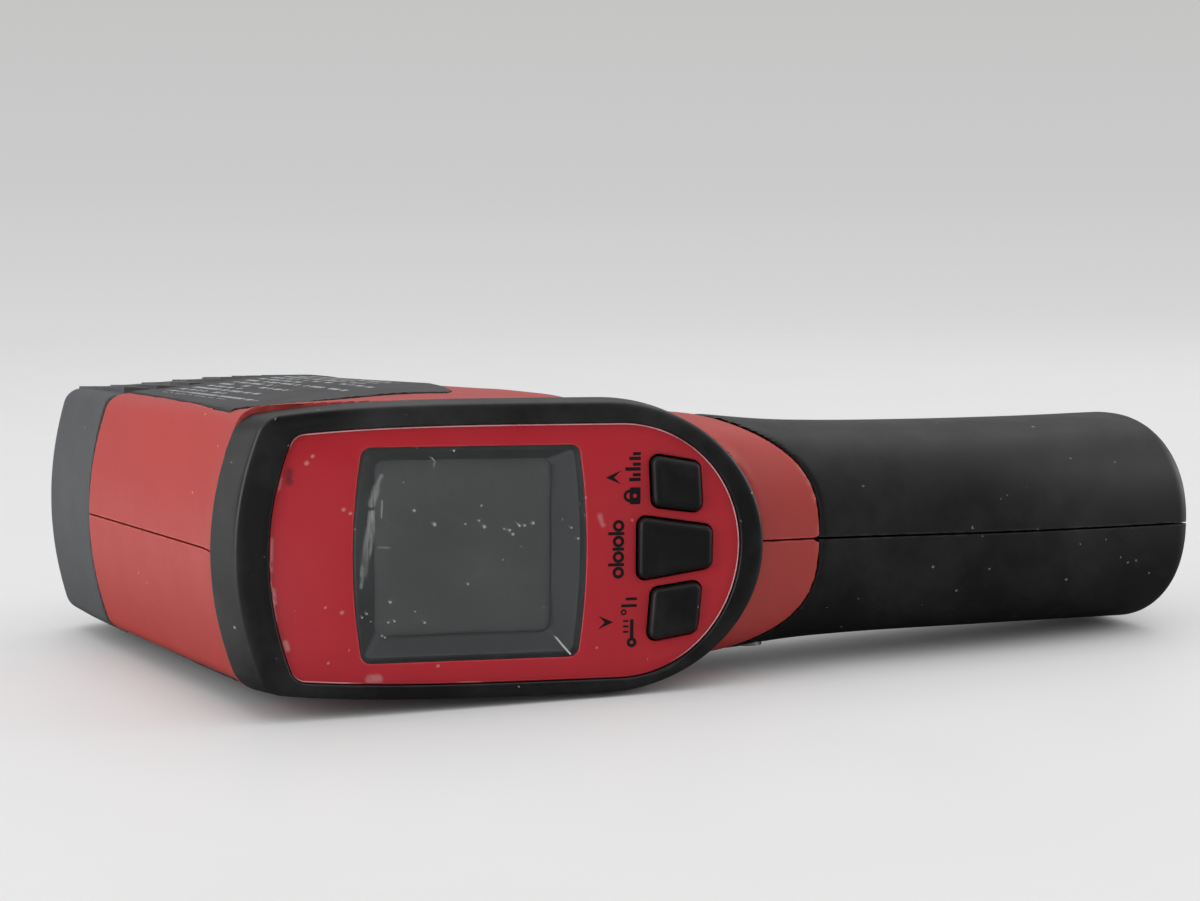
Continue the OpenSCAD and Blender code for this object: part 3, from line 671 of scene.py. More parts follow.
def loft(rings, close=False, caps=False):
    """Quads between rings of equal counts; caps are fans to the middle of each end."""
    size = len(rings[0])
    last = len(rings) - 1
    here = np.arange(size)
    after = (here + 1) % size
    faces = []
    for i in range(last + 1 if close else last):
        a, b = i * size, ((i + 1) % len(rings)) * size
        faces += [tuple(q) for q in np.stack([a + here, a + after, b + after, b + here], 1)]
    points = np.concatenate(rings)
    if caps:
        middle = len(points)
        points = np.vstack([points, rings[0].mean(0), rings[-1].mean(0)])
        faces += [(middle, j, i) for i, j in zip(here, after)]
        faces += [(middle + 1, i + last * size, j + last * size) for i, j in zip(here, after)]
    return points, faces


def inside_loop(point, loop):
    x, y = point
    x0, y0 = loop[:, 0], loop[:, 1]
    x1, y1 = np.roll(x0, -1), np.roll(y0, -1)
    rise = np.where(y1 == y0, 1e-9, y1 - y0)
    hit = ((y0 > y) != (y1 > y)) & (x < (x1 - x0) * (y - y0) / rise + x0)
    return bool(hit.sum() % 2)


def fill(loops):
    """Triangles between an outer loop and its holes: points, faces, source indices."""
    points, edges, tests = [], [], []
    for loop in loops:
        start = len(points)
        points += [Vector((float(p[0]), float(p[1]))) for p in loop]
        edges += [(start + j, start + (j + 1) % len(loop)) for j in range(len(loop))]
        tests.append(np.array([[p.x, p.y] for p in points[start:]]))
    placed, _, faces, sources, _, _ = delaunay_2d_cdt(points, edges, [], 1, 1e-6)
    placed = np.array([[p.x, p.y] for p in placed])
    kept = []
    for face in faces:
        middle = np.mean(placed[list(face)], axis=0)
        if inside_loop(middle, tests[0]) and not any(inside_loop(middle, t) for t in tests[1:]):
            kept.append(face)
    return placed, kept, sources


def flat_plate(name, loops, front, back, bevel, material, **told):
    """A thin plate; loops are functions of growth, the outer one first, then the holes."""
    points, faces = [], []
    front_loops, back_loops, front_ids, back_ids = [], [], [], []
    base = 0
    for k, loop in enumerate(loops):
        sign = -1 if k == 0 else 1
        profile = [(back, 0.0), (front + bevel, 0.0),
                   (front + 0.3 * bevel, sign * 0.3 * bevel), (front, sign * bevel)]
        wall, quads = loft([panel_ring(loop(grow), depth) for depth, grow in profile])
        size = len(wall) // len(profile)
        points.append(wall)
        faces += [tuple(base + i for i in quad) for quad in quads]
        front_loops.append(loop(profile[-1][1]))
        back_loops.append(loop(0.0))
        front_ids += range(base + len(wall) - size, base + len(wall))
        back_ids += range(base, base + size)
        base += len(wall)
    for outlines, ids in ((front_loops, front_ids), (back_loops, back_ids)):
        _, kept, sources = fill(outlines)
        owner = [ids[source[0]] if source else None for source in sources]
        for face in kept:
            corners = tuple(owner[i] for i in face)
            if None not in corners:
                faces.append(corners)
    add_lofted(name, np.concatenate(points), faces, material, **told)


# ---------------------------------------------------------------------------
# Shader tools. Texture space is the row frame in metres; spans are (from, to) pairs.
# ---------------------------------------------------------------------------
class Shader:
    """Adds nodes to one material or world."""

    def __init__(self, owner, output, space):
        owner.use_nodes = True
        self.tree = owner.node_tree
        self.tree.nodes.clear()
        self.output = self.node(output)
        self.coords = self.node("TexCoord").outputs[space]

    def node(self, kind, inputs=None, **settings):
        node = self.tree.nodes.new("ShaderNode" + kind)
        for key, value in settings.items():
            setattr(node, key, value)
        for key, value in (inputs or {}).items():
            socket = node.inputs[key]
            if isinstance(value, bpy.types.NodeSocket):
                self.tree.links.new(value, socket)
            elif value is not None:
                socket.default_value = (*value, 1) if socket.type == "RGBA" else value
        return node

    def math(self, operation, first, second=None, clamp=False):
        return self.node("Math", {0: first, 1: second}, operation=operation,
                         use_clamp=clamp).outputs[0]

    def times(self, product, *others):
        for other in others:
            product = self.math("MULTIPLY", product, other)
        return product

    def highest(self, first, second):
        return self.math("MAXIMUM", first, second)

    def above(self, value, limit):
        return self.math("GREATER_THAN", value, limit)

    def below(self, value, limit):
        return self.math("LESS_THAN", value, limit)

    def vector(self, operation, first, second=None):
        node = self.node("VectorMath", {0: first, 1: second}, operation=operation)
        return node.outputs["Value" if operation in ("LENGTH", "DOT_PRODUCT") else 0]

    def axes(self, vector):
        return self.node("SeparateXYZ", {0: vector}).outputs

    def remap(self, value, span, to=(0.0, 1.0), smooth=False):
        return self.node("MapRange", {"Value": value, "From Min": span[0], "From Max": span[1],
                                      "To Min": to[0], "To Max": to[1]}, clamp=True,
                         interpolation_type="SMOOTHSTEP" if smooth else "LINEAR",
                         ).outputs["Result"]

    def stretched(self, stretch):
        return self.node("Mapping", {"Vector": self.coords, "Scale": stretch}).outputs[0]

    def noise(self, scale=1.0, detail=3.0, rough=0.55, stretch=None, distortion=0.0):
        coords = self.stretched(stretch) if stretch else self.coords
        return self.node("TexNoise", {"Vector": coords, "Scale": scale, "Detail": detail,
                                      "Roughness": rough, "Distortion": distortion},
                         ).outputs["Fac"]

    def patches(self, span=(0.3, 0.7), to=(0.0, 1.0), **noise):
        """Noise with its contrast set by span."""
        return self.remap(self.noise(**noise), span, to)

    def mix(self, share, first, second):
        return self.node("Mix", {0: share, 6: first, 7: second}, data_type="RGBA").outputs[2]

    def mix_value(self, share, first, second):
        return self.node("Mix", {0: share, 2: first, 3: second}, data_type="FLOAT").outputs[0]

    def mix_shader(self, share, first, second):
        return self.node("MixShader", {0: share, 1: first, 2: second}).outputs[0]

    def colour_ramp(self, value, stops):
        """Stops are (place, colour) from 0 to 1."""
        node = self.node("ValToRGB", {0: value})
        points = node.color_ramp.elements
        for place, colour in stops:
            point = points[0] if place == 0 else points[-1] if place == 1 else points.new(place)
            point.color = (*colour, 1)
        return node.outputs[0]

    def panel(self):
        """(along, z, 0) of the panel frame, in mm."""
        offset = self.vector("SUBTRACT", self.coords, (PANEL_X / 1000, PANEL_Y / 1000, 0.0))
        along = self.vector("DOT_PRODUCT", offset, (PANEL_COS, -PANEL_SIN, 0.0))
        along = self.times(along, 1000.0)
        z = self.times(self.axes(offset)[2], 1000.0)
        return self.node("CombineXYZ", {0: along, 1: z}).outputs[0]

    def stroke(self, plane, start, end, half_width, soft):
        """1 near the segment from start to end in the plane, 0 away from it."""
        way = (end[0] - start[0], end[1] - start[1], 0.0)
        square = max(way[0] ** 2 + way[1] ** 2, 1e-6)
        offset = self.vector("SUBTRACT", plane, (*start, 0.0))
        share = self.math("DIVIDE", self.vector("DOT_PRODUCT", offset, way), square, clamp=True)
        foot = self.node("VectorMath", {0: way, "Scale": share}, operation="SCALE").outputs[0]
        distance = self.vector("LENGTH", self.vector("SUBTRACT", offset, foot))
        return self.remap(distance, (half_width + soft, max(half_width - soft, 0.0)),
                          smooth=True)

    def edges(self, size, gain=1.0):
        """0 on flat ground, rising on outward and inward edges."""
        bevel = self.node("Bevel", {"Radius": size}, samples=4)
        normal = self.node("NewGeometry").outputs["Normal"]
        facing = self.vector("DOT_PRODUCT", bevel.outputs[0], normal)
        return self.remap(facing, (0.99, 0.99 - 0.25 / gain))

    def specks(self, scale, size, density):
        """Small uneven dust specks; density is the share of cells that hold one."""
        wobble = self.node("TexNoise", {"Vector": self.coords, "Scale": 2600.0, "Detail": 2.0})
        wobble = self.vector("SUBTRACT", wobble.outputs["Color"], (0.5, 0.5, 0.5))
        wobble = self.vector("MULTIPLY", wobble, (0.0006, 0.0006, 0.0006))
        cells = self.node("TexVoronoi", {"Vector": self.vector("ADD", self.coords, wobble),
                                         "Scale": scale}, feature="F1")
        chance = self.node("SeparateColor", {0: cells.outputs["Color"]}).outputs
        here = self.below(chance[0], density)
        dot = self.below(cells.outputs["Distance"], self.times(chance[1], size))
        return self.times(here, dot)

    def bsdf(self, colour, roughness, spec, height, strength, distance,
             metallic=0.0, coat=0.0, coat_rough=0.1):
        """The main surface, with a bump from height."""
        bump = self.node("Bump", {"Height": height, "Strength": strength,
                                  "Distance": distance}).outputs[0]
        return self.node("BsdfPrincipled", {
            "Base Color": colour, "Roughness": roughness, "Metallic": metallic,
            "Specular IOR Level": spec, "Coat Weight": coat, "Coat Roughness": coat_rough,
            "Normal": bump}).outputs[0]

    def finish(self, shader):
        self.tree.links.new(shader, self.output.inputs["Surface"])


class Material(Shader):
    def __init__(self, name):
        MATERIALS[name] = bpy.data.materials.new(name)
        super().__init__(MATERIALS[name], "OutputMaterial", "Object")


def grey(level):
    return (level, level, level)


# ---------------------------------------------------------------------------
# Plastics and metals
# ---------------------------------------------------------------------------
def plastic(name, base, dark, rough, dust, grain=2600.0, grain_height=0.00001, spec=0.5,
            dust_colour=grey(0.5), wear=None, wear_radius=None, blotch=60.0):
    """Blotched, grained and dusty, with edges rubbed to the wear colour."""
    m = Material(name)
    colour = m.mix(m.patches(scale=blotch, detail=4, rough=0.6, span=(0.3, 0.72)), base, dark)
    height = m.noise(scale=grain, detail=3, rough=0.6)
    pits = m.patches(scale=grain * 0.5, detail=2, span=(0.62, 0.8), to=(0.0, 0.25))
    colour = m.mix(pits, colour, dark)
    roughness = m.patches(scale=blotch * 2.7, detail=5, rough=0.65, span=(0.25, 0.75),
                          to=(rough - 0.06, rough + 0.08))
    if wear is not None:
        rubbed = m.patches(scale=420.0, detail=4, rough=0.7, span=(0.38, 0.62))
        rubbed = m.math("MULTIPLY", m.edges(wear_radius), rubbed, clamp=True)
        colour = m.mix(rubbed, colour, wear)
        roughness = m.mix_value(rubbed, roughness, max(rough - 0.12, 0.1))
    specks = m.highest(m.specks(scale=620.0, size=0.15, density=0.15 * dust),
                       m.specks(scale=170.0, size=0.055, density=0.20 * dust))
    haze = m.patches(scale=35.0, detail=5, rough=0.7, span=(0.45, 0.8), to=(0.0, 0.10 * dust))
    dirt = m.highest(m.times(specks, 0.75), haze)
    colour = m.mix(dirt, colour, dust_colour)
    roughness = m.mix_value(m.times(dirt, 0.6), roughness, 0.9)
    m.finish(m.bsdf(colour, roughness, spec=spec, height=height, strength=0.5,
                    distance=grain_height))


def metal(name, base, dark, rough, stretch=(40, 2200, 40)):
    """Brushed metal; stretch sets the grain along each axis."""
    m = Material(name)
    noise = m.noise(detail=4, rough=0.6, stretch=stretch)
    m.finish(m.bsdf(m.mix(m.remap(noise, (0.3, 0.7)), base, dark),
                    m.remap(noise, (0.3, 0.7), (rough - 0.08, rough + 0.12)),
                    spec=0.5, metallic=1.0, height=noise, strength=0.25, distance=0.00002))


plastic("red_plastic", (0.42, 0.040, 0.034), (0.385, 0.036, 0.030), rough=0.44, dust=0.30,
        grain_height=0.000012, spec=0.55, dust_colour=(0.60, 0.30, 0.27),
        wear=(0.62, 0.10, 0.08), wear_radius=0.0006, blotch=40.0)
plastic("grip_rubber", (0.0042, 0.0044, 0.0050), (0.0030, 0.0032, 0.0037), rough=0.46,
        dust=1.0, grain=3200.0, grain_height=0.00002, dust_colour=grey(0.20),
        wear=(0.045, 0.045, 0.047), wear_radius=0.0006, blotch=55.0)
plastic("boot_rubber", (0.070, 0.073, 0.078), (0.058, 0.061, 0.066), rough=0.60, dust=0.6,
        grain=3000.0, grain_height=0.00002, dust_colour=grey(0.26),
        wear=grey(0.12), wear_radius=0.0006, blotch=55.0)
plastic("bezel_plastic", (0.0042, 0.0044, 0.0052), (0.0030, 0.0032, 0.0040), rough=0.40,
        dust=1.0, grain=3000.0, grain_height=0.000012, dust_colour=(0.30, 0.30, 0.29),
        wear=grey(0.10), wear_radius=0.0004, blotch=70.0)
plastic("key_rubber", (0.0035, 0.0036, 0.0042), (0.0024, 0.0025, 0.0030), rough=0.5, dust=1.2,
        grain=3600.0, grain_height=0.000015, dust_colour=(0.22, 0.22, 0.21),
        wear=(0.035, 0.035, 0.036), wear_radius=0.00045, blotch=90.0)
plastic("trigger_plastic", (0.016, 0.016, 0.017), (0.012, 0.012, 0.013), rough=0.42, dust=0.6,
        grain=3000.0, grain_height=0.000015, dust_colour=grey(0.2),
        wear=grey(0.05), wear_radius=0.0005)
plastic("optic_black", (0.010, 0.010, 0.011), (0.006, 0.006, 0.007), rough=0.55, dust=0.2,
        grain_height=0.00002, spec=0.4, blotch=90.0)
plastic("switch_plastic", (0.02, 0.02, 0.022), (0.013, 0.013, 0.014), rough=0.4, dust=0.2)
plastic("foam_pad", (0.035, 0.035, 0.038), (0.015, 0.015, 0.017), rough=0.95, dust=0.1,
        grain=900.0, grain_height=0.00025, spec=0.1)
plastic("diffuser_white", (0.74, 0.75, 0.72), (0.66, 0.67, 0.65), rough=0.4, dust=0.1,
        grain=2000.0)
plastic("wire_insulation", (0.50, 0.03, 0.025), (0.36, 0.02, 0.02), rough=0.38, dust=0.2,
        grain=2400.0)
plastic("print_ink", (0.008, 0.007, 0.008), (0.006, 0.005, 0.006), rough=0.45, dust=0.1,
        spec=0.4)
metal("bright_steel", (0.62, 0.62, 0.63), (0.48, 0.48, 0.49), rough=0.28)
metal("sensor_can", grey(0.70), (0.56, 0.56, 0.57), rough=0.25, stretch=(900, 900, 900))
metal("laser_brass", (0.68, 0.49, 0.20), (0.52, 0.36, 0.14), rough=0.27)


# ---------------------------------------------------------------------------
# Other materials
# ---------------------------------------------------------------------------
def film_material():
    """Cut edge of the printed film: pale on the right and round the handle end, a painted
    highlight where the edge catches the light, and rubbed in patches elsewhere."""
    m = Material("film_edge")
    along, z, _ = m.axes(m.panel())
    noise = m.noise(scale=260.0, detail=4, rough=0.7)
    # painted highlight: pale along the right and round the handle end
    pale = m.highest(m.remap(z, (15.0, 17.2)), m.remap(along, (46.0, 51.0)))
    pale = m.times(pale, m.remap(noise, (0.30, 0.50), (0.45, 0.95)))
    pale = m.highest(pale, m.patches(scale=75.0, rough=0.6, span=(0.54, 0.62), to=(0.0, 0.55)))
    colour = m.mix(pale, (0.34, 0.012, 0.021), (0.80, 0.44, 0.45))
    m.finish(m.bsdf(colour, m.remap(noise, (0.3, 0.7), (0.3, 0.5)), spec=0.5,
                    height=m.noise(scale=1500.0), strength=0.2, distance=0.00001))


def frame_material():
    """Grey display surround with painted light: paler on the walls that face -along and +z, as
    if lit there.
    """
    m = Material("frame_plastic")
    normal = m.node("NewGeometry").outputs["Normal"]
    # painted light: walls facing -along and +z take the paler grey, as if lit
    facing = [m.remap(m.vector("DOT_PRODUCT", normal, way), (0.15, 0.5))
              for way in ((-PANEL_COS, PANEL_SIN, 0.0), (0.0, 0.0, 1.0))]
    blotch = m.patches(scale=50.0, detail=4, rough=0.6)
    plain_wall = m.mix(blotch, (0.185, 0.186, 0.190), (0.168, 0.169, 0.173))
    painted_lit_wall = m.mix(blotch, (0.40, 0.40, 0.412), (0.37, 0.37, 0.382))
    m.finish(m.bsdf(m.mix(m.highest(*facing), plain_wall, painted_lit_wall),
                    m.patches(scale=140.0, detail=4, to=(0.45, 0.58)), spec=0.4,
                    height=m.noise(scale=2500.0), strength=0.3, distance=0.00001))


# Pale chips in the face film, panel mm: start, end, half width, softness, amount
CHIPS = [
    ((-11.5, 10.9), (-11.75, 9.7), 0.38, 0.3, 0.65),
    ((-12.75, 2.3), (-12.85, -2.0), 0.36, 0.3, 0.65),
    ((-12.5, -5.0), (-12.35, -6.6), 0.42, 0.3, 0.7),
    ((-10.7, -12.5), (-10.45, -13.3), 0.42, 0.25, 0.5),
    ((1.6, -18.3), (2.5, -18.3), 0.80, 0.35, 0.42),
    ((35.4, 4.7), (35.8, 3.4), 0.36, 0.3, 0.36),
]
# Pale spots in the face film, panel mm: along, z, radius
CHIP_SPOTS = [
    (-6.76, 14.05, 0.22), (-7.62, 13.08, 0.28), (-2.37, 6.37, 0.24), (-1.41, 5.8, 0.20),
    (-2.62, -8.39, 0.24), (11.32, -16.6, 0.2), (-5.0, -7.6, 0.16), (-4.6, -15.6, 0.16),
    (33.2, 7.4, 0.14), (35.0, -14.8, 0.14),
]
# Scuffs on the window, panel mm: start, end, half width, softness, amount, streaky
SCUFFS = [
    ((3.11, 11.04), (2.45, 9.4), 0.24, 0.20, 0.36, True),
    ((2.45, 9.4), (1.75, 7.1), 0.48, 0.30, 0.36, True),
    ((1.8, 5.72), (1.56, 3.47), 0.50, 0.28, 0.36, True),
    ((1.56, 3.47), (0.96, -0.09), 0.62, 0.30, 0.34, True),
    ((0.96, -0.09), (0.48, -2.94), 0.48, 0.30, 0.32, True),
    ((0.48, -2.94), (0.2, -4.9), 0.20, 0.18, 0.30, True),
    ((3.23, 7.48), (3.11, 5.1), 0.09, 0.08, 0.32, False),
    ((28.9, -13.01), (29.95, -14.28), 0.09, 0.07, 0.85, False),
    ((29.95, -14.28), (31.04, -15.54), 0.11, 0.08, 0.90, False),
    ((10.31, 13.66), (10.91, 13.06), 0.06, 0.06, 0.40, False),
    ((10.91, 13.06), (10.67, 12.46), 0.06, 0.06, 0.36, False),
    ((2.75, 0.82), (4.31, 0.78), 0.09, 0.08, 0.20, False),
]
# Dust on the window, panel mm: along, z, radius
DUST_SPOTS = [
    (7.84, 6.02, 0.20), (10.81, 3.97, 0.24), (17.68, 6.54, 0.14), (17.33, 4.38, 0.15),
    (18.11, 3.45, 0.22), (15.3, 3.94, 0.12), (21.06, 3.07, 0.13), (21.84, 2.88, 0.18),
    (22.34, 2.26, 0.20), (23.02, 3.77, 0.13), (24.08, 3.5, 0.17), (25.32, 3.82, 0.22),
    (4.39, -7.12, 0.19), (0.96, -8.69, 0.15), (0.31, -9.19, 0.13), (4.08, -10.04, 0.13),
    (4.97, -9.9, 0.15), (9.39, -10.21, 0.15), (8.0, -8.6, 0.10), (3.16, -11.95, 0.13),
    (3.6, -12.18, 0.12), (32.1, 1.41, 0.16), (31.08, 3.03, 0.13), (15.7, -4.81, 0.14),
]


def face_material():
    """Red printed film: satin, thin scratches, pale rims that are partly rubbed wear and partly
    painted highlight, a dark smudge, pale chips.
    """
    m = Material("face_film")
    plane = m.panel()
    colour = m.mix(m.patches(scale=45.0, detail=4, rough=0.6),
                   (0.475, 0.0140, 0.0260), (0.45, 0.0125, 0.0240))
    roughness = m.patches(scale=140.0, detail=5, rough=0.65, span=(0.3, 0.75), to=(0.27, 0.38))
    scratches = m.patches(rough=0.6, stretch=(160, 5200, 5200), distortion=0.4,
                          span=(0.70, 0.76), to=(0, 0.12))
    colour = m.mix(scratches, colour, (0.62, 0.20, 0.22))
    # pale rims on the edges: partly rubbed wear, partly a painted highlight where the rims catch
    # the light
    rim = m.times(m.edges(0.00035, gain=2.0),
                  m.patches(scale=300.0, detail=4, rough=0.7, span=(0.40, 0.62),
                            to=(0.03, 0.30)))
    colour = m.mix(rim, colour, (0.72, 0.36, 0.38))
    pale = None
    for start, end, half_width, soft, amount in CHIPS:
        chip = m.times(m.stroke(plane, start, end, half_width, soft), amount,
                       m.patches(scale=900.0, detail=4, rough=0.7, span=(0.30, 0.5)))
        pale = chip if pale is None else m.highest(pale, chip)
    for along, z, size in CHIP_SPOTS:
        spot = m.stroke(plane, (along, z), (along + 0.08, z + 0.05), size, soft=size * 0.7)
        pale = m.highest(pale, m.times(spot, 0.50))
    pale = m.highest(pale, m.times(m.specks(scale=400.0, size=0.11, density=0.12), 0.45))
    colour = m.mix(pale, colour, (0.62, 0.33, 0.33))
    smudge = m.times(m.stroke(plane, (-9.95, 11.9), (-10.05, 10.6), half_width=0.55, soft=0.5),
                     m.patches(scale=450.0, detail=4, rough=0.7, span=(0.3, 0.5)), 0.75)
    colour = m.mix(smudge, colour, (0.09, 0.012, 0.014))
    roughness = m.mix_value(pale, roughness, 0.6)
    m.finish(m.bsdf(colour, roughness, spec=0.5, height=m.noise(scale=700.0), strength=0.12,
                    distance=0.000012, coat=0.12, coat_rough=0.2))


def label_material():
    """Dark side label with mock print: short pale dashes in rows, no letters."""
    row_pitch, word_pitch = 2.3, 1.15       # mm, along x and y
    m = Material("label_film")
    x, y = (m.times(axis, 1000.0) for axis in m.axes(m.coords)[:2])

    def rows():
        return m.math("DIVIDE", m.math("ADD", x, 40.0), row_pitch)

    def words():
        return m.math("DIVIDE", y, word_pitch)

    row = m.math("FLOOR", rows())
    in_row = m.math("FRACT", rows())
    cell = m.node("CombineXYZ", {0: row, 1: m.math("FLOOR", words())}).outputs[0]
    word = m.node("TexWhiteNoise", {"Vector": cell}, noise_dimensions="2D").outputs["Value"]
    ragged = m.node("TexWhiteNoise", {"W": row}, noise_dimensions="1D").outputs["Value"]
    row_start = m.math("ADD", m.times(ragged, 26.0), -70.0)
    slanted = m.math("SUBTRACT", x, m.times(y, 0.22))
    ink = m.times(m.above(in_row, 0.22), m.below(in_row, 0.70), m.above(word, 0.34),
                  m.above(m.math("FRACT", words()), 0.16), m.above(y, row_start),
                  m.below(y, -30.5), m.above(x, -13.4), m.below(slanted, 31.0),
                  m.patches(scale=900.0, rough=0.7, span=(0.3, 0.5), to=(0.45, 0.9)))
    colour = m.mix(m.patches(scale=60.0, detail=4),
                   (0.0245, 0.025, 0.027), (0.020, 0.0205, 0.0225))
    colour = m.mix(ink, colour, (0.42, 0.43, 0.44))
    rubbed = m.times(m.edges(0.0005), m.patches(scale=400.0, detail=4, rough=0.7,
                                                span=(0.4, 0.6), to=(0.2, 0.8)), 0.5)
    colour = m.mix(rubbed, colour, grey(0.12))
    specks = m.times(m.specks(scale=500.0, size=0.13, density=0.1), 0.5)
    colour = m.mix(specks, colour, grey(0.4))
    m.finish(m.bsdf(colour, m.patches(scale=150.0, detail=4, rough=0.6, to=(0.42, 0.52)),
                    spec=0.5, height=m.noise(scale=2500.0, detail=2), strength=0.3,
                    distance=0.00001))


def glass_material(name, tint, rough, scuffed):
    """Clear sheet with haze, dust and, on the window, scuffs."""
    m = Material(name)
    clear = m.node("BsdfTransparent", {0: tint}).outputs[0]
    roughness = m.patches(scale=180.0, detail=5, rough=0.7, span=(0.3, 0.75),
                          to=(rough, rough + 0.10))
    gloss = m.node("BsdfGlossy", {"Color": grey(1), "Roughness": roughness}).outputs[0]
    fresnel = m.node("Fresnel", {"IOR": 1.46}).outputs[0]
    glare = 1.0         # strength of the reflection
    sheet = m.mix_shader(m.math("MULTIPLY", fresnel, glare, clamp=True), clear, gloss)
    dust = m.node("BsdfDiffuse", {0: (0.62, 0.63, 0.63)}).outputs[0]
    mask = m.patches(scale=60.0, detail=5, rough=0.7, span=(0.45, 0.85), to=(0.0, 0.035))
    specks = m.highest(m.times(m.specks(scale=430.0, size=0.13, density=0.10), 0.6),
                       m.times(m.specks(scale=1200.0, size=0.2, density=0.05), 0.3))
    mask = m.highest(mask, specks)
    if scuffed:
        plane = m.panel()
        streaks = m.patches(detail=5, rough=0.75, stretch=(2600, 900, 260), span=(0.36, 0.62))
        for start, end, half_width, soft, amount, streaky in SCUFFS:
            scuff = m.times(m.stroke(plane, start, end, half_width, soft), amount)
            if streaky:
                scuff = m.times(scuff, streaks)
            mask = m.highest(mask, scuff)
        for along, z, size in DUST_SPOTS:
            spot = m.stroke(plane, (along, z), (along + 0.06, z + 0.05), size, soft=size * 0.6)
            mask = m.highest(mask, m.times(spot, 0.42))
    m.finish(m.mix_shader(mask, sheet, dust))


def lens_material():
    m = Material("lens_coated")
    # painted reflection of the lens coating: bluish face-on, purple towards grazing angles
    facing = m.node("LayerWeight", {"Blend": 0.35}).outputs["Facing"]
    colour = m.mix(facing, (0.10, 0.12, 0.17), (0.24, 0.16, 0.30))
    colour = m.mix(m.patches(scale=300.0, detail=4, span=(0.5, 0.8), to=(0, 0.3)),
                   colour, (0.2, 0.2, 0.22))
    m.finish(m.bsdf(colour, m.patches(scale=700.0, to=(0.10, 0.22)), spec=0.9, metallic=0.55,
                    height=m.noise(scale=500.0), strength=0.1, distance=0.00001,
                    coat=0.5, coat_rough=0.05))


def board_material():
    m = Material("circuit_board")
    bricks = m.node("TexBrick", {
        "Vector": m.stretched((400, 400, 400)), "Color1": (0.010, 0.085, 0.040),
        "Color2": (0.014, 0.105, 0.050), "Mortar": (0.030, 0.17, 0.085),
        "Mortar Size": 0.03})
    colour = m.mix(m.patches(scale=900.0, detail=2, span=(0.66, 0.7)),
                   bricks.outputs["Color"], (0.55, 0.5, 0.35))
    m.finish(m.bsdf(colour, m.patches(scale=500.0, to=(0.25, 0.4)), spec=0.5,
                    height=bricks.outputs["Fac"], strength=0.3, distance=0.00005))


def lcd_material():
    m = Material("lcd_glass")
    colour = m.mix(m.patches(scale=30.0, rough=0.5),
                   (0.300, 0.302, 0.302), (0.325, 0.327, 0.327))
    lines = m.node("TexWave", {"Vector": m.coords, "Scale": 600.0}).outputs["Fac"]
    colour = m.mix(m.remap(lines, (0.2, 0.8), (0.0, 0.05)), colour, (0.05, 0.052, 0.052))
    m.finish(m.bsdf(colour, m.patches(scale=120.0, to=(0.28, 0.36)), spec=0.4,
                    height=m.noise(scale=800.0), strength=0.03, distance=0.000002))


def battery_material():
    """Grey jacket with a copper-coloured band at the handle's end."""
    m = Material("battery_jacket")
    along = m.vector("DOT_PRODUCT", m.coords, (HANDLE_COS, -HANDLE_SIN, 0.0))
    noise = m.noise(detail=4, rough=0.6, stretch=(60, 1800, 60))
    jacket = m.mix(m.remap(noise, (0.3, 0.7)), (0.20, 0.205, 0.22), (0.15, 0.155, 0.17))
    copper = m.mix(m.remap(noise, (0.3, 0.7)), (0.42, 0.30, 0.13), (0.34, 0.24, 0.10))
    colour = m.mix(m.remap(along, (0.1145, 0.1148)), jacket, copper)
    colour = m.mix(m.times(m.edges(0.0006), 0.5), colour, grey(0.6))
    m.finish(m.bsdf(colour, m.remap(noise, (0.3, 0.7), (0.26, 0.38)), spec=0.5, metallic=0.75,
                    height=noise, strength=0.2, distance=0.00002))


film_material()
frame_material()
face_material()
label_material()
glass_material("window_clear", (0.90, 0.91, 0.91), rough=0.06, scuffed=True)
glass_material("laser_glass", (0.55, 0.06, 0.05), rough=0.05, scuffed=False)
lens_material()
board_material()
lcd_material()
battery_material()

# ---------------------------------------------------------------------------
# Moulded pieces: name, field, box corners, cell scale, material, slot
# ---------------------------------------------------------------------------
moulded_pair("shell", housing, (-26.3, -125, -0.4), (134, -1.9, 23.6), 1,
             "red_plastic", "red_shell", "housing")
moulded_pair("grip", cover, (36, -126, -0.4), (135, -66, 22.6), 0.9,
             "grip_rubber", "grip_black", "grip_cover")
moulded("boot", boot, (-25, -25, -22.4), (27, 1.2, 22.4), 0.72,
        "boot_rubber", "boot_grey", replaces="nose_boot")
moulded_pair("label", side_label, (-25, -84.5, 9.4), (29, -24.5, 22.6), 0.75,
             "label_film", "label_black", "side_label")
moulded("door_cover", door, (58, -108, -15), (137, -70, 15), 0.85,
        "grip_rubber", "grip_black", body="battery_door", replaces="battery_door")
moulded("trigger_lever", trigger, (34.5, -87, -7.2), (62.5, -62.5, 7.2), 0.7,
        "trigger_plastic", "trigger_black", body="trigger", replaces="trigger")


# ---------------------------------------------------------------------------
# Rear panel: bezel, face plate, keys, window and funnel. Outlines are (along, z).
# ---------------------------------------------------------------------------
KEYS = {
    "up": [(43.0, 13.6), (50.4, 12.3), (50.9, 5.0), (43.4, 6.0)],
    "mode": [(41.2, 4.5), (52.4, 2.8), (52.4, -3.2), (41.2, -4.9)],
    "down": [(43.4, -6.3), (50.9, -5.3), (50.2, -12.8), (42.8, -14.0)],
}
KEY_CORNER = 1.1
KEY_GAP = 0.3
WINDOW = [(0.1, -15.95), (32.4, -15.95), (32.4, 15.2), (0.1, 15.15)]
DISPLAY_CENTRE = 16.1


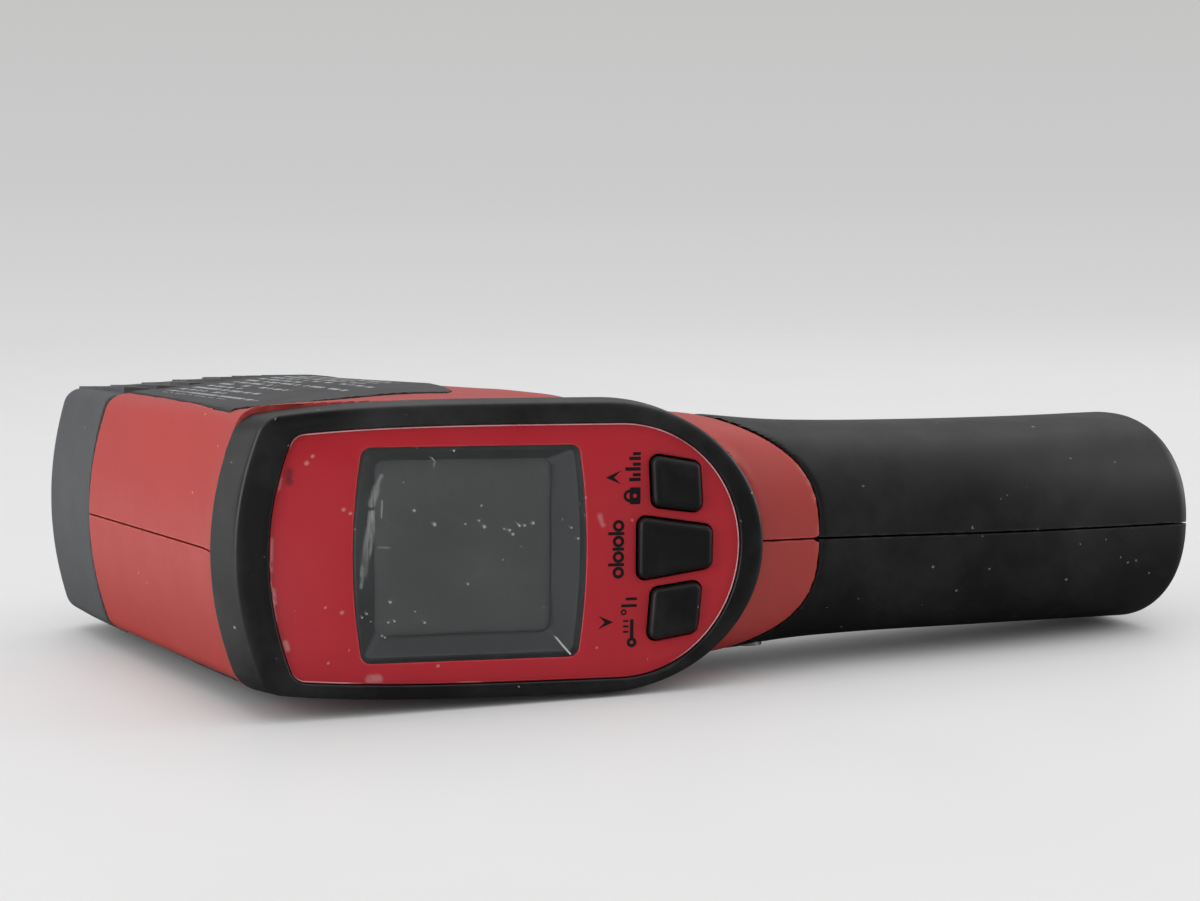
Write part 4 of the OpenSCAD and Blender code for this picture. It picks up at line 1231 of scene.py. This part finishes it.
def bezel():
    """A ring swept around the panel: outer wall, lip, face, ledge and back."""
    angles = even_angles(bezel_loop, 460)
    # (depth, growth, extra reach of the top)
    profile = [(5.0, 0.15, 2.5), (4.85, 0.3, 2.5)]
    profile += [(0.25 + 4.6 * q, 0.3 * q, 2.5 * q) for q in (0.8, 0.6, 0.4, 0.2, 0.06)]
    profile += [(0.2, 0.0, 0.0), (0.0, -0.04, 0.0), (-0.16, -0.12, 0.0), (-0.28, -0.25, 0.0),
                (-0.36, -0.42, 0.0), (-0.42, -0.65, 0.0), (-0.46, -0.95, 0.0),
                (-0.49, -1.35, 0.0)]
    rings = [panel_ring(bezel_loop(angles, grow, top), depth) for depth, grow, top in profile]
    lip, mouth = bezel_loop(angles, -1.35), face_loop(angles, 0.45)
    for q in (0.34, 0.67):
        rings.append(panel_ring(lip * (1 - q) + mouth * q, -0.5 + 0.04 * math.sin(q * math.pi)))
    for grow, depth in [(0.45, -0.5), (0.28, -0.46), (0.18, -0.36), (0.15, -0.2),
                        (0.15, 0.66), (-1.6, 0.66), (-1.6, 2.6)]:
        rings.append(panel_ring(face_loop(angles, grow), depth))
    back = bezel_loop(angles, -2.2)
    rings += [panel_ring(back, 2.6), panel_ring(back, 5.0)]
    add_lofted("bezel", *loft(rings, close=True), "bezel_plastic", slot="bezel_black",
               sharp=38, replaces="rear_bezel")


def window_loop(grow):
    return rounded(WINDOW, 1.5, grow, arc=9, side=16, bulge=(0.0, 1.0, 0.0, 1.1))


def face_plate():
    angles = even_angles(face_loop, 440)
    loops = [lambda grow: face_loop(angles, grow), window_loop]
    loops += [lambda grow, key=key: rounded(key, KEY_CORNER, KEY_GAP + grow)
              for key in KEYS.values()]
    flat_plate("face_plate", loops, 0.10, 0.62, 0.14, "face_film", slot="faceplate_red",
               sharp=50, replaces="faceplate")
    # the film's cut edge: a thin ring round the outline, paler where its highlight is painted
    # and in rubbed patches, (growth, depth)
    profile = [(0.02, 0.3), (0.02, 0.09), (-0.03, 0.045), (-0.13, 0.045), (-0.18, 0.09),
               (-0.18, 0.3)]
    rings = [panel_ring(face_loop(angles, grow), depth) for grow, depth in profile]
    add_lofted("film_edge", *loft(rings, close=True), "film_edge", slot="faceplate_red",
               sharp=60)


def key(word, outline):
    """A key cap with a dished top, and the plunger behind it."""
    name, body = f"key_cap_{word}", f"key_{word}"
    centre = np.array(outline, float).mean(0)
    profile = [(-0.02, 3.1), (-0.02, -0.35), (-0.06, -0.62), (-0.18, -0.84), (-0.38, -0.98),
               (-0.65, -1.05), (-0.95, -1.06)]
    rings = [panel_ring(rounded(outline, KEY_CORNER, grow), depth) for grow, depth in profile]
    rim = rounded(outline, KEY_CORNER, profile[-1][0])
    for q, depth in ((0.86, -1.02), (0.7, -0.94), (0.5, -0.88), (0.3, -0.85), (0.12, -0.84)):
        rings.append(panel_ring(centre + (rim - centre) * q, depth))
    add_lofted(name, *loft(rings, caps=True), "key_rubber", slot="key_black", sharp=50,
               body=body, replaces=body)
    angles = np.linspace(0, 2 * math.pi, 28, endpoint=False)
    rings = [panel_ring(np.stack([centre[0] + size * np.cos(angles),
                                  centre[1] + size * np.sin(angles)], 1), depth)
             for size, depth in ((1.8, 3.0), (1.6, 3.4), (1.6, 8.2), (1.4, 8.4))]
    add_lofted(name + "_plunger", *loft(rings, caps=True), "key_rubber", slot="key_black",
               sharp=40, body=body)


def window():
    profile = [(-0.06, 1.5), (-0.06, 0.22), (-0.12, 0.15), (-0.2, 0.13), (-0.5, 0.13)]
    rings = [panel_ring(window_loop(grow), depth) for grow, depth in profile]
    add_lofted("window", *loft(rings, caps=True), "window_clear", slot="window_clear",
               sharp=30, replaces="display_window")


def display_rectangle(length, width, corner):
    low, high = DISPLAY_CENTRE - length / 2, DISPLAY_CENTRE + length / 2
    return rounded([(low, -width / 2), (high, -width / 2), (high, width / 2),
                    (low, width / 2)], corner, arc=9, side=16)


def funnel():
    """The sloping surround between the window and the display."""
    inner = display_rectangle(26.4, 25.8, 1.5)
    rim = window_loop(-0.75)
    rings = [panel_ring(window_loop(0.05), 1.62), panel_ring(window_loop(-0.55), 1.60),
             panel_ring(rim, 1.68)]
    for q in (0.12, 0.3, 0.5, 0.7, 0.88):
        rings.append(panel_ring(rim * (1 - q) + inner * q, 1.75 + 3.1 * q ** 1.05))
    rings += [panel_ring(inner, 4.95), panel_ring(inner, 5.6),
              panel_ring(display_rectangle(34.6, 33.8, 1.2), 5.6),
              panel_ring(display_rectangle(34.8, 33.9, 1.2), 2.75),
              panel_ring(window_loop(0.05), 2.7)]
    add_lofted("display_funnel", *loft(rings, close=True), "frame_plastic",
               slot="frame_dark", sharp=35, replaces="display_frame")


bezel()
face_plate()
for word, outline in KEYS.items():
    key(word, outline)
window()
funnel()


# ---------------------------------------------------------------------------
# Printed marks: arrowheads and plain pictograms, drawn as thin ink
# ---------------------------------------------------------------------------
INK_FRONT, INK_BACK = 0.075, 0.098      # panel depths


def ink(name, shapes):
    """Each shape is a list of (along, z) loops: the outer one, then its holes."""
    points, faces = [], []
    base = 0
    for loops in shapes:
        placed, kept, _ = fill(loops)
        count = len(placed)
        points += [panel_ring(placed, INK_FRONT), panel_ring(placed, INK_BACK)]
        for face in kept:
            faces.append(tuple(base + i for i in face))
            faces.append(tuple(base + count + i for i in reversed(face)))
        start = base
        for loop in loops:
            for j in range(len(loop)):
                a, b = start + j, start + (j + 1) % len(loop)
                faces.append((a, b, count + b, count + a))
            start += len(loop)
        base += 2 * count
    add_lofted(name, np.concatenate(points), faces, "print_ink", slot="label_black", sharp=30)


def pictogram(name, along, z, shapes):
    """Ink from (right, up) points: reading runs towards +z, up is towards -along."""
    ink(name, [[[(along - up, z + right) for right, up in loop] for loop in loops]
               for loops in shapes])


def arc(x, y, size, angles):
    return [(x + size * math.cos(a), y + size * math.sin(a)) for a in angles]


def circle(x, y, size, count):
    return arc(x, y, size, [2 * math.pi * i / count for i in range(count)])


def bar(x0, y0, x1, y1, corner):
    points = []
    for x, y, start in ((x1 - corner, y1 - corner, 0), (x0 + corner, y1 - corner, 90),
                        (x0 + corner, y0 + corner, 180), (x1 - corner, y0 + corner, 270)):
        points += arc(x, y, corner, [math.radians(start + 30 * k) for k in range(4)])
    return points


def shackle(x, y, outer, inner, leg):
    return ([(x + outer, y - leg)]
            + arc(x, y, outer, [math.pi * k / 12 for k in range(13)])
            + [(x - outer, y - leg), (x - inner, y - leg)]
            + arc(x, y, inner, [math.pi * (1 - k / 12) for k in range(13)])
            + [(x + inner, y - leg)])


def arrow(along, z, tail):
    """A notched arrowhead with its tip at (along, z); tail is the side it trails to."""
    width, length, notch = 2.0, 2.3, 0.55
    return [(along, z), (along + tail * length, z + width / 2),
            (along + tail * notch * length, z), (along + tail * length, z - width / 2)]


def lock_print():
    """A padlock with a tally beside it, by the upper key."""
    shapes = [[bar(0.0, 0.0, 2.5, 1.65, 0.25), circle(1.25, 0.85, 0.32, 14)],
              [shackle(1.25, 1.65, 0.92, 0.50, 0.02)]]
    for i, height in enumerate((1.75, 2.35, 1.75)):
        left = 3.4 + 1.55 * i
        shapes.append([bar(left, 0.0, left + 0.5, height, 0.12)])
        shapes.append([bar(left + 0.72, 0.0, left + 1.18, 1.2, 0.12)])
    pictogram("print_lock", 41.5, 6.3, shapes)


def mode_print():
    """Four rings with three bars between them, by the middle key."""
    shapes = []
    for i in range(4):
        left = i * 2.3
        shapes.append([circle(left + 0.85, 0.88, 0.88, 24), circle(left + 0.85, 0.88, 0.40, 20)])
        if i < 3:
            height = 2.45 if i % 2 == 0 else 1.8
            shapes.append([bar(left + 1.80, 0.0, left + 2.26, height, 0.12)])
    pictogram("print_mode", 39.1, -4.6, shapes)


def scale_print():
    """A bulb thermometer, a ring and two bars, by the lower key."""
    shapes = [[circle(0.75, 0.75, 0.75, 24), circle(0.75, 0.75, 0.28, 14)],
              [bar(1.35, 0.48, 4.2, 1.02, 0.2)]]
    for left, right in ((2.2, 2.5), (3.0, 3.3), (3.8, 4.1)):
        shapes.append([bar(left, 1.25, right, 2.1, 0.1)])
    shapes += [[circle(5.25, 2.0, 0.45, 18), circle(5.25, 2.0, 0.2, 12)],
               [bar(6.0, 0.0, 6.42, 2.4, 0.12)], [bar(7.0, 0.0, 7.42, 1.7, 0.12)]]
    pictogram("print_scale", 41.1, -14.9, shapes)


lock_print()
mode_print()
scale_print()
ink("print_arrow_up", [[arrow(36.2, 10.3, tail=1)]])
ink("print_arrow_down", [[arrow(37.5, -11.05, tail=-1)]])

# ---------------------------------------------------------------------------
# CAD nodes that stay: material, and edge round in mm where it shows
# ---------------------------------------------------------------------------
CAD_LOOKS = {
    "nose_plate": ("optic_black", 0.25), "lcd_module": ("lcd_glass", 0.0),
    "backlight": ("diffuser_white", 0.2), "main_board": ("circuit_board", 0.0),
    "tact_switches": ("switch_plastic", 0.15), "buzzer": ("switch_plastic", 0.25),
    "board_screws": ("bright_steel", 0.12), "lens_tube": ("optic_black", 0.2),
    "lens_ring": ("optic_black", 0.15), "ir_lens": ("lens_coated", 0.0),
    "thermopile_sensor": ("sensor_can", 0.0), "sensor_board": ("circuit_board", 0.0),
    "laser_module": ("laser_brass", 0.15), "laser_window": ("laser_glass", 0.1),
    "trigger_pin": ("bright_steel", 0.15), "trigger_spring": ("bright_steel", 0.0),
    "trigger_switch": ("switch_plastic", 0.15), "door_pin": ("bright_steel", 0.15),
    "battery_9v": ("battery_jacket", 0.9), "battery_snap": ("switch_plastic", 0.5),
    "battery_leads": ("wire_insulation", 0.0), "battery_pad": ("foam_pad", 0.5),
    "housing_screws": ("bright_steel", 0.12),
}
for name, (material, width) in CAD_LOOKS.items():
    node = NODES[name]
    if not node.material_slots:
        node.data.materials.append(MATERIALS[material])
    for slot in node.material_slots:
        slot.material = MATERIALS[material]
    if width:
        bevel_modifier = node.modifiers.new("round", "BEVEL")
        bevel_modifier.width = width / 1000.0
        bevel_modifier.segments = 2
        bevel_modifier.limit_method = "ANGLE"
        bevel_modifier.angle_limit = math.radians(40)
        bevel_modifier.harden_normals = False

# ---------------------------------------------------------------------------
# Floor: a wide disc, tilted to meet the side the object lies on
# ---------------------------------------------------------------------------
FLOOR_X, FLOOR_Y = 40, -60
FLOOR_SPOKES = 96
FLOOR_RADII = [60, 120, 200, 320, 500, 800, 1400]


def floor_point(x, y):
    x, y = x + FLOOR_X, y + FLOOR_Y
    z = -21.95 + 0.046 * (x - 36) + 0.0202 * (y + 104)
    return (x / 1000, y / 1000, z / 1000)


def floor_material():
    """Pale paper that glows a little, as if lit from below on a light table, with a painted
    contact shadow where the glow fades near the object, fading out at a distance.
    """
    m = Material("floor_paper")
    position = m.node("NewGeometry").outputs["Position"]
    offset = m.vector("SUBTRACT", position, (FLOOR_X / 1000, FLOOR_Y / 1000, -0.02))
    fade = m.remap(m.vector("LENGTH", offset), (0.40, 0.80), smooth=True)
    colour = m.mix(m.patches(scale=14.0, detail=4, rough=0.6), grey(0.47), (0.46, 0.46, 0.463))
    # dimmer in reflections towards the handle
    glossy = m.node("LightPath").outputs["Is Glossy Ray"]
    dim = m.times(glossy, m.remap(m.axes(position)[0], (-0.075, -0.022), (0.0, 0.86)))
    colour = m.mix(dim, colour, grey(0.0))
    paper = m.bsdf(colour, m.patches(scale=40.0, to=(0.5, 0.58)), spec=0.35,
                   height=m.noise(scale=900.0, detail=2), strength=0.08, distance=0.00005)
    # the glow is taken away where the object hems the floor in: a painted contact shadow
    open_sky = m.node("AmbientOcclusion", {"Distance": 0.022}, samples=6).outputs["AO"]
    glow_with_painted_shadow = m.remap(open_sky, (0.06, 0.60), (0.0, 0.275))
    strength = m.times(m.math("SUBTRACT", 1.0, dim), glow_with_painted_shadow)
    light = m.node("Emission", {0: grey(1), "Strength": strength}).outputs[0]
    lit = m.node("AddShader", {0: paper, 1: light}).outputs[0]
    m.finish(m.mix_shader(fade, lit, m.node("BsdfTransparent").outputs[0]))


def floor():
    floor_material()
    count = FLOOR_SPOKES
    angles = [2 * math.pi * j / count for j in range(count)]
    points = [floor_point(0.0, 0.0)]
    points += [floor_point(size * math.cos(a), size * math.sin(a))
               for size in FLOOR_RADII for a in angles]
    faces = [(0, 1 + j, 1 + (j + 1) % count) for j in range(count)]
    for i in range(len(FLOOR_RADII) - 1):
        a, b = 1 + i * count, 1 + (i + 1) * count
        faces += [(a + j, b + j, b + (j + 1) % count, a + (j + 1) % count)
                  for j in range(count)]
    mesh = bpy.data.meshes.new("floor")
    mesh.from_pydata(points, [], faces)
    thing = bpy.data.objects.new("floor", mesh)
    mesh.materials.append(MATERIALS["floor_paper"])
    bpy.context.scene.collection.objects.link(thing)


floor()

# ---------------------------------------------------------------------------
# World, lights and camera, in metres
# ---------------------------------------------------------------------------
# What the camera sees: a pale sweep, a little darker upwards
SEEN_STOPS = [(0, grey(0.785)), (0.15, grey(0.767)), (0.26, grey(0.723)), (0.33, grey(0.694)),
              (0.42, grey(0.665)), (0.60, grey(0.604)), (0.78, grey(0.578)),
              (1, (0.555, 0.555, 0.545))]
# What lights the object, from straight below to straight above
LIT_STOPS = [(0, grey(0.30)), (0.5, grey(0.42)), (0.72, (0.70, 0.70, 0.71)),
             (1, (0.95, 0.95, 0.96))]
TO_CAMERA = (-0.5128, -0.8542, 0.0856)


def build_world():
    world = bpy.data.worlds.new("studio")
    bpy.context.scene.world = world
    w = Shader(world, "OutputWorld", "Generated")
    up = w.axes(w.coords)[2]
    seen = w.colour_ramp(w.remap(up, (-0.12, 0.11)), SEEN_STOPS)
    seen = w.node("Background", {0: seen, "Strength": 1.0}).outputs[0]
    lit = w.colour_ramp(w.remap(up, (-1.0, 1.0)), LIT_STOPS)
    # reflections darken around the camera
    facing = w.vector("DOT_PRODUCT", w.coords, TO_CAMERA)
    reflected = w.remap(facing, (0.35, 0.95), (0.62, 0.05), smooth=True)
    rays = w.node("LightPath").outputs
    diffuse_strength = 0.84
    strength = w.mix_value(rays["Is Glossy Ray"], diffuse_strength, reflected)
    lit = w.node("Background", {0: lit, "Strength": strength}).outputs[0]
    w.finish(w.mix_shader(rays["Is Camera Ray"], lit, seen))


def area_light(name, place, target, size, power):
    light = bpy.data.lights.new(name, "AREA")
    light.shape = "RECTANGLE"
    light.size = size
    light.size_y = size
    light.energy = power
    thing = bpy.data.objects.new(name, light)
    thing.location = place
    way = Vector(target) - Vector(place)
    thing.rotation_euler = way.to_track_quat("-Z", "Y").to_euler()
    bpy.context.scene.collection.objects.link(thing)


def camera():
    lens = bpy.data.cameras.new("camera")
    lens.sensor_width = 36.0
    lens.sensor_fit = "HORIZONTAL"
    lens.lens = 72.15
    lens.clip_start, lens.clip_end = 0.01, 20.0
    thing = bpy.data.objects.new("camera", lens)
    place = (-0.15186, -0.40113, 0.04431)
    right = Vector((0.857661, -0.514155, 0.007899)).normalized()
    ahead = Vector((0.512863, 0.854190, -0.085626)).normalized()
    up = right.cross(ahead).normalized()
    right = ahead.cross(up).normalized()
    rows = [(right[i], up[i], -ahead[i], place[i]) for i in range(3)]
    thing.matrix_world = Matrix((*rows, (0, 0, 0, 1)))
    bpy.context.scene.collection.objects.link(thing)
    bpy.context.scene.camera = thing


build_world()
area_light("top_soft", (0.10, 0.05, 0.80), target=(0.04, -0.06, 0.0), size=1.1, power=3.0)
area_light("left_soft", (-0.72, -0.02, 0.10), target=(0.0, -0.05, 0.0), size=0.7, power=4.7)
area_light("right_soft", (0.80, -0.34, 0.20), target=(0.06, -0.06, 0.0), size=0.6, power=2.9)
camera()
bpy.context.scene.view_settings.view_transform = "Standard"
bpy.context.scene.view_settings.look = "None"
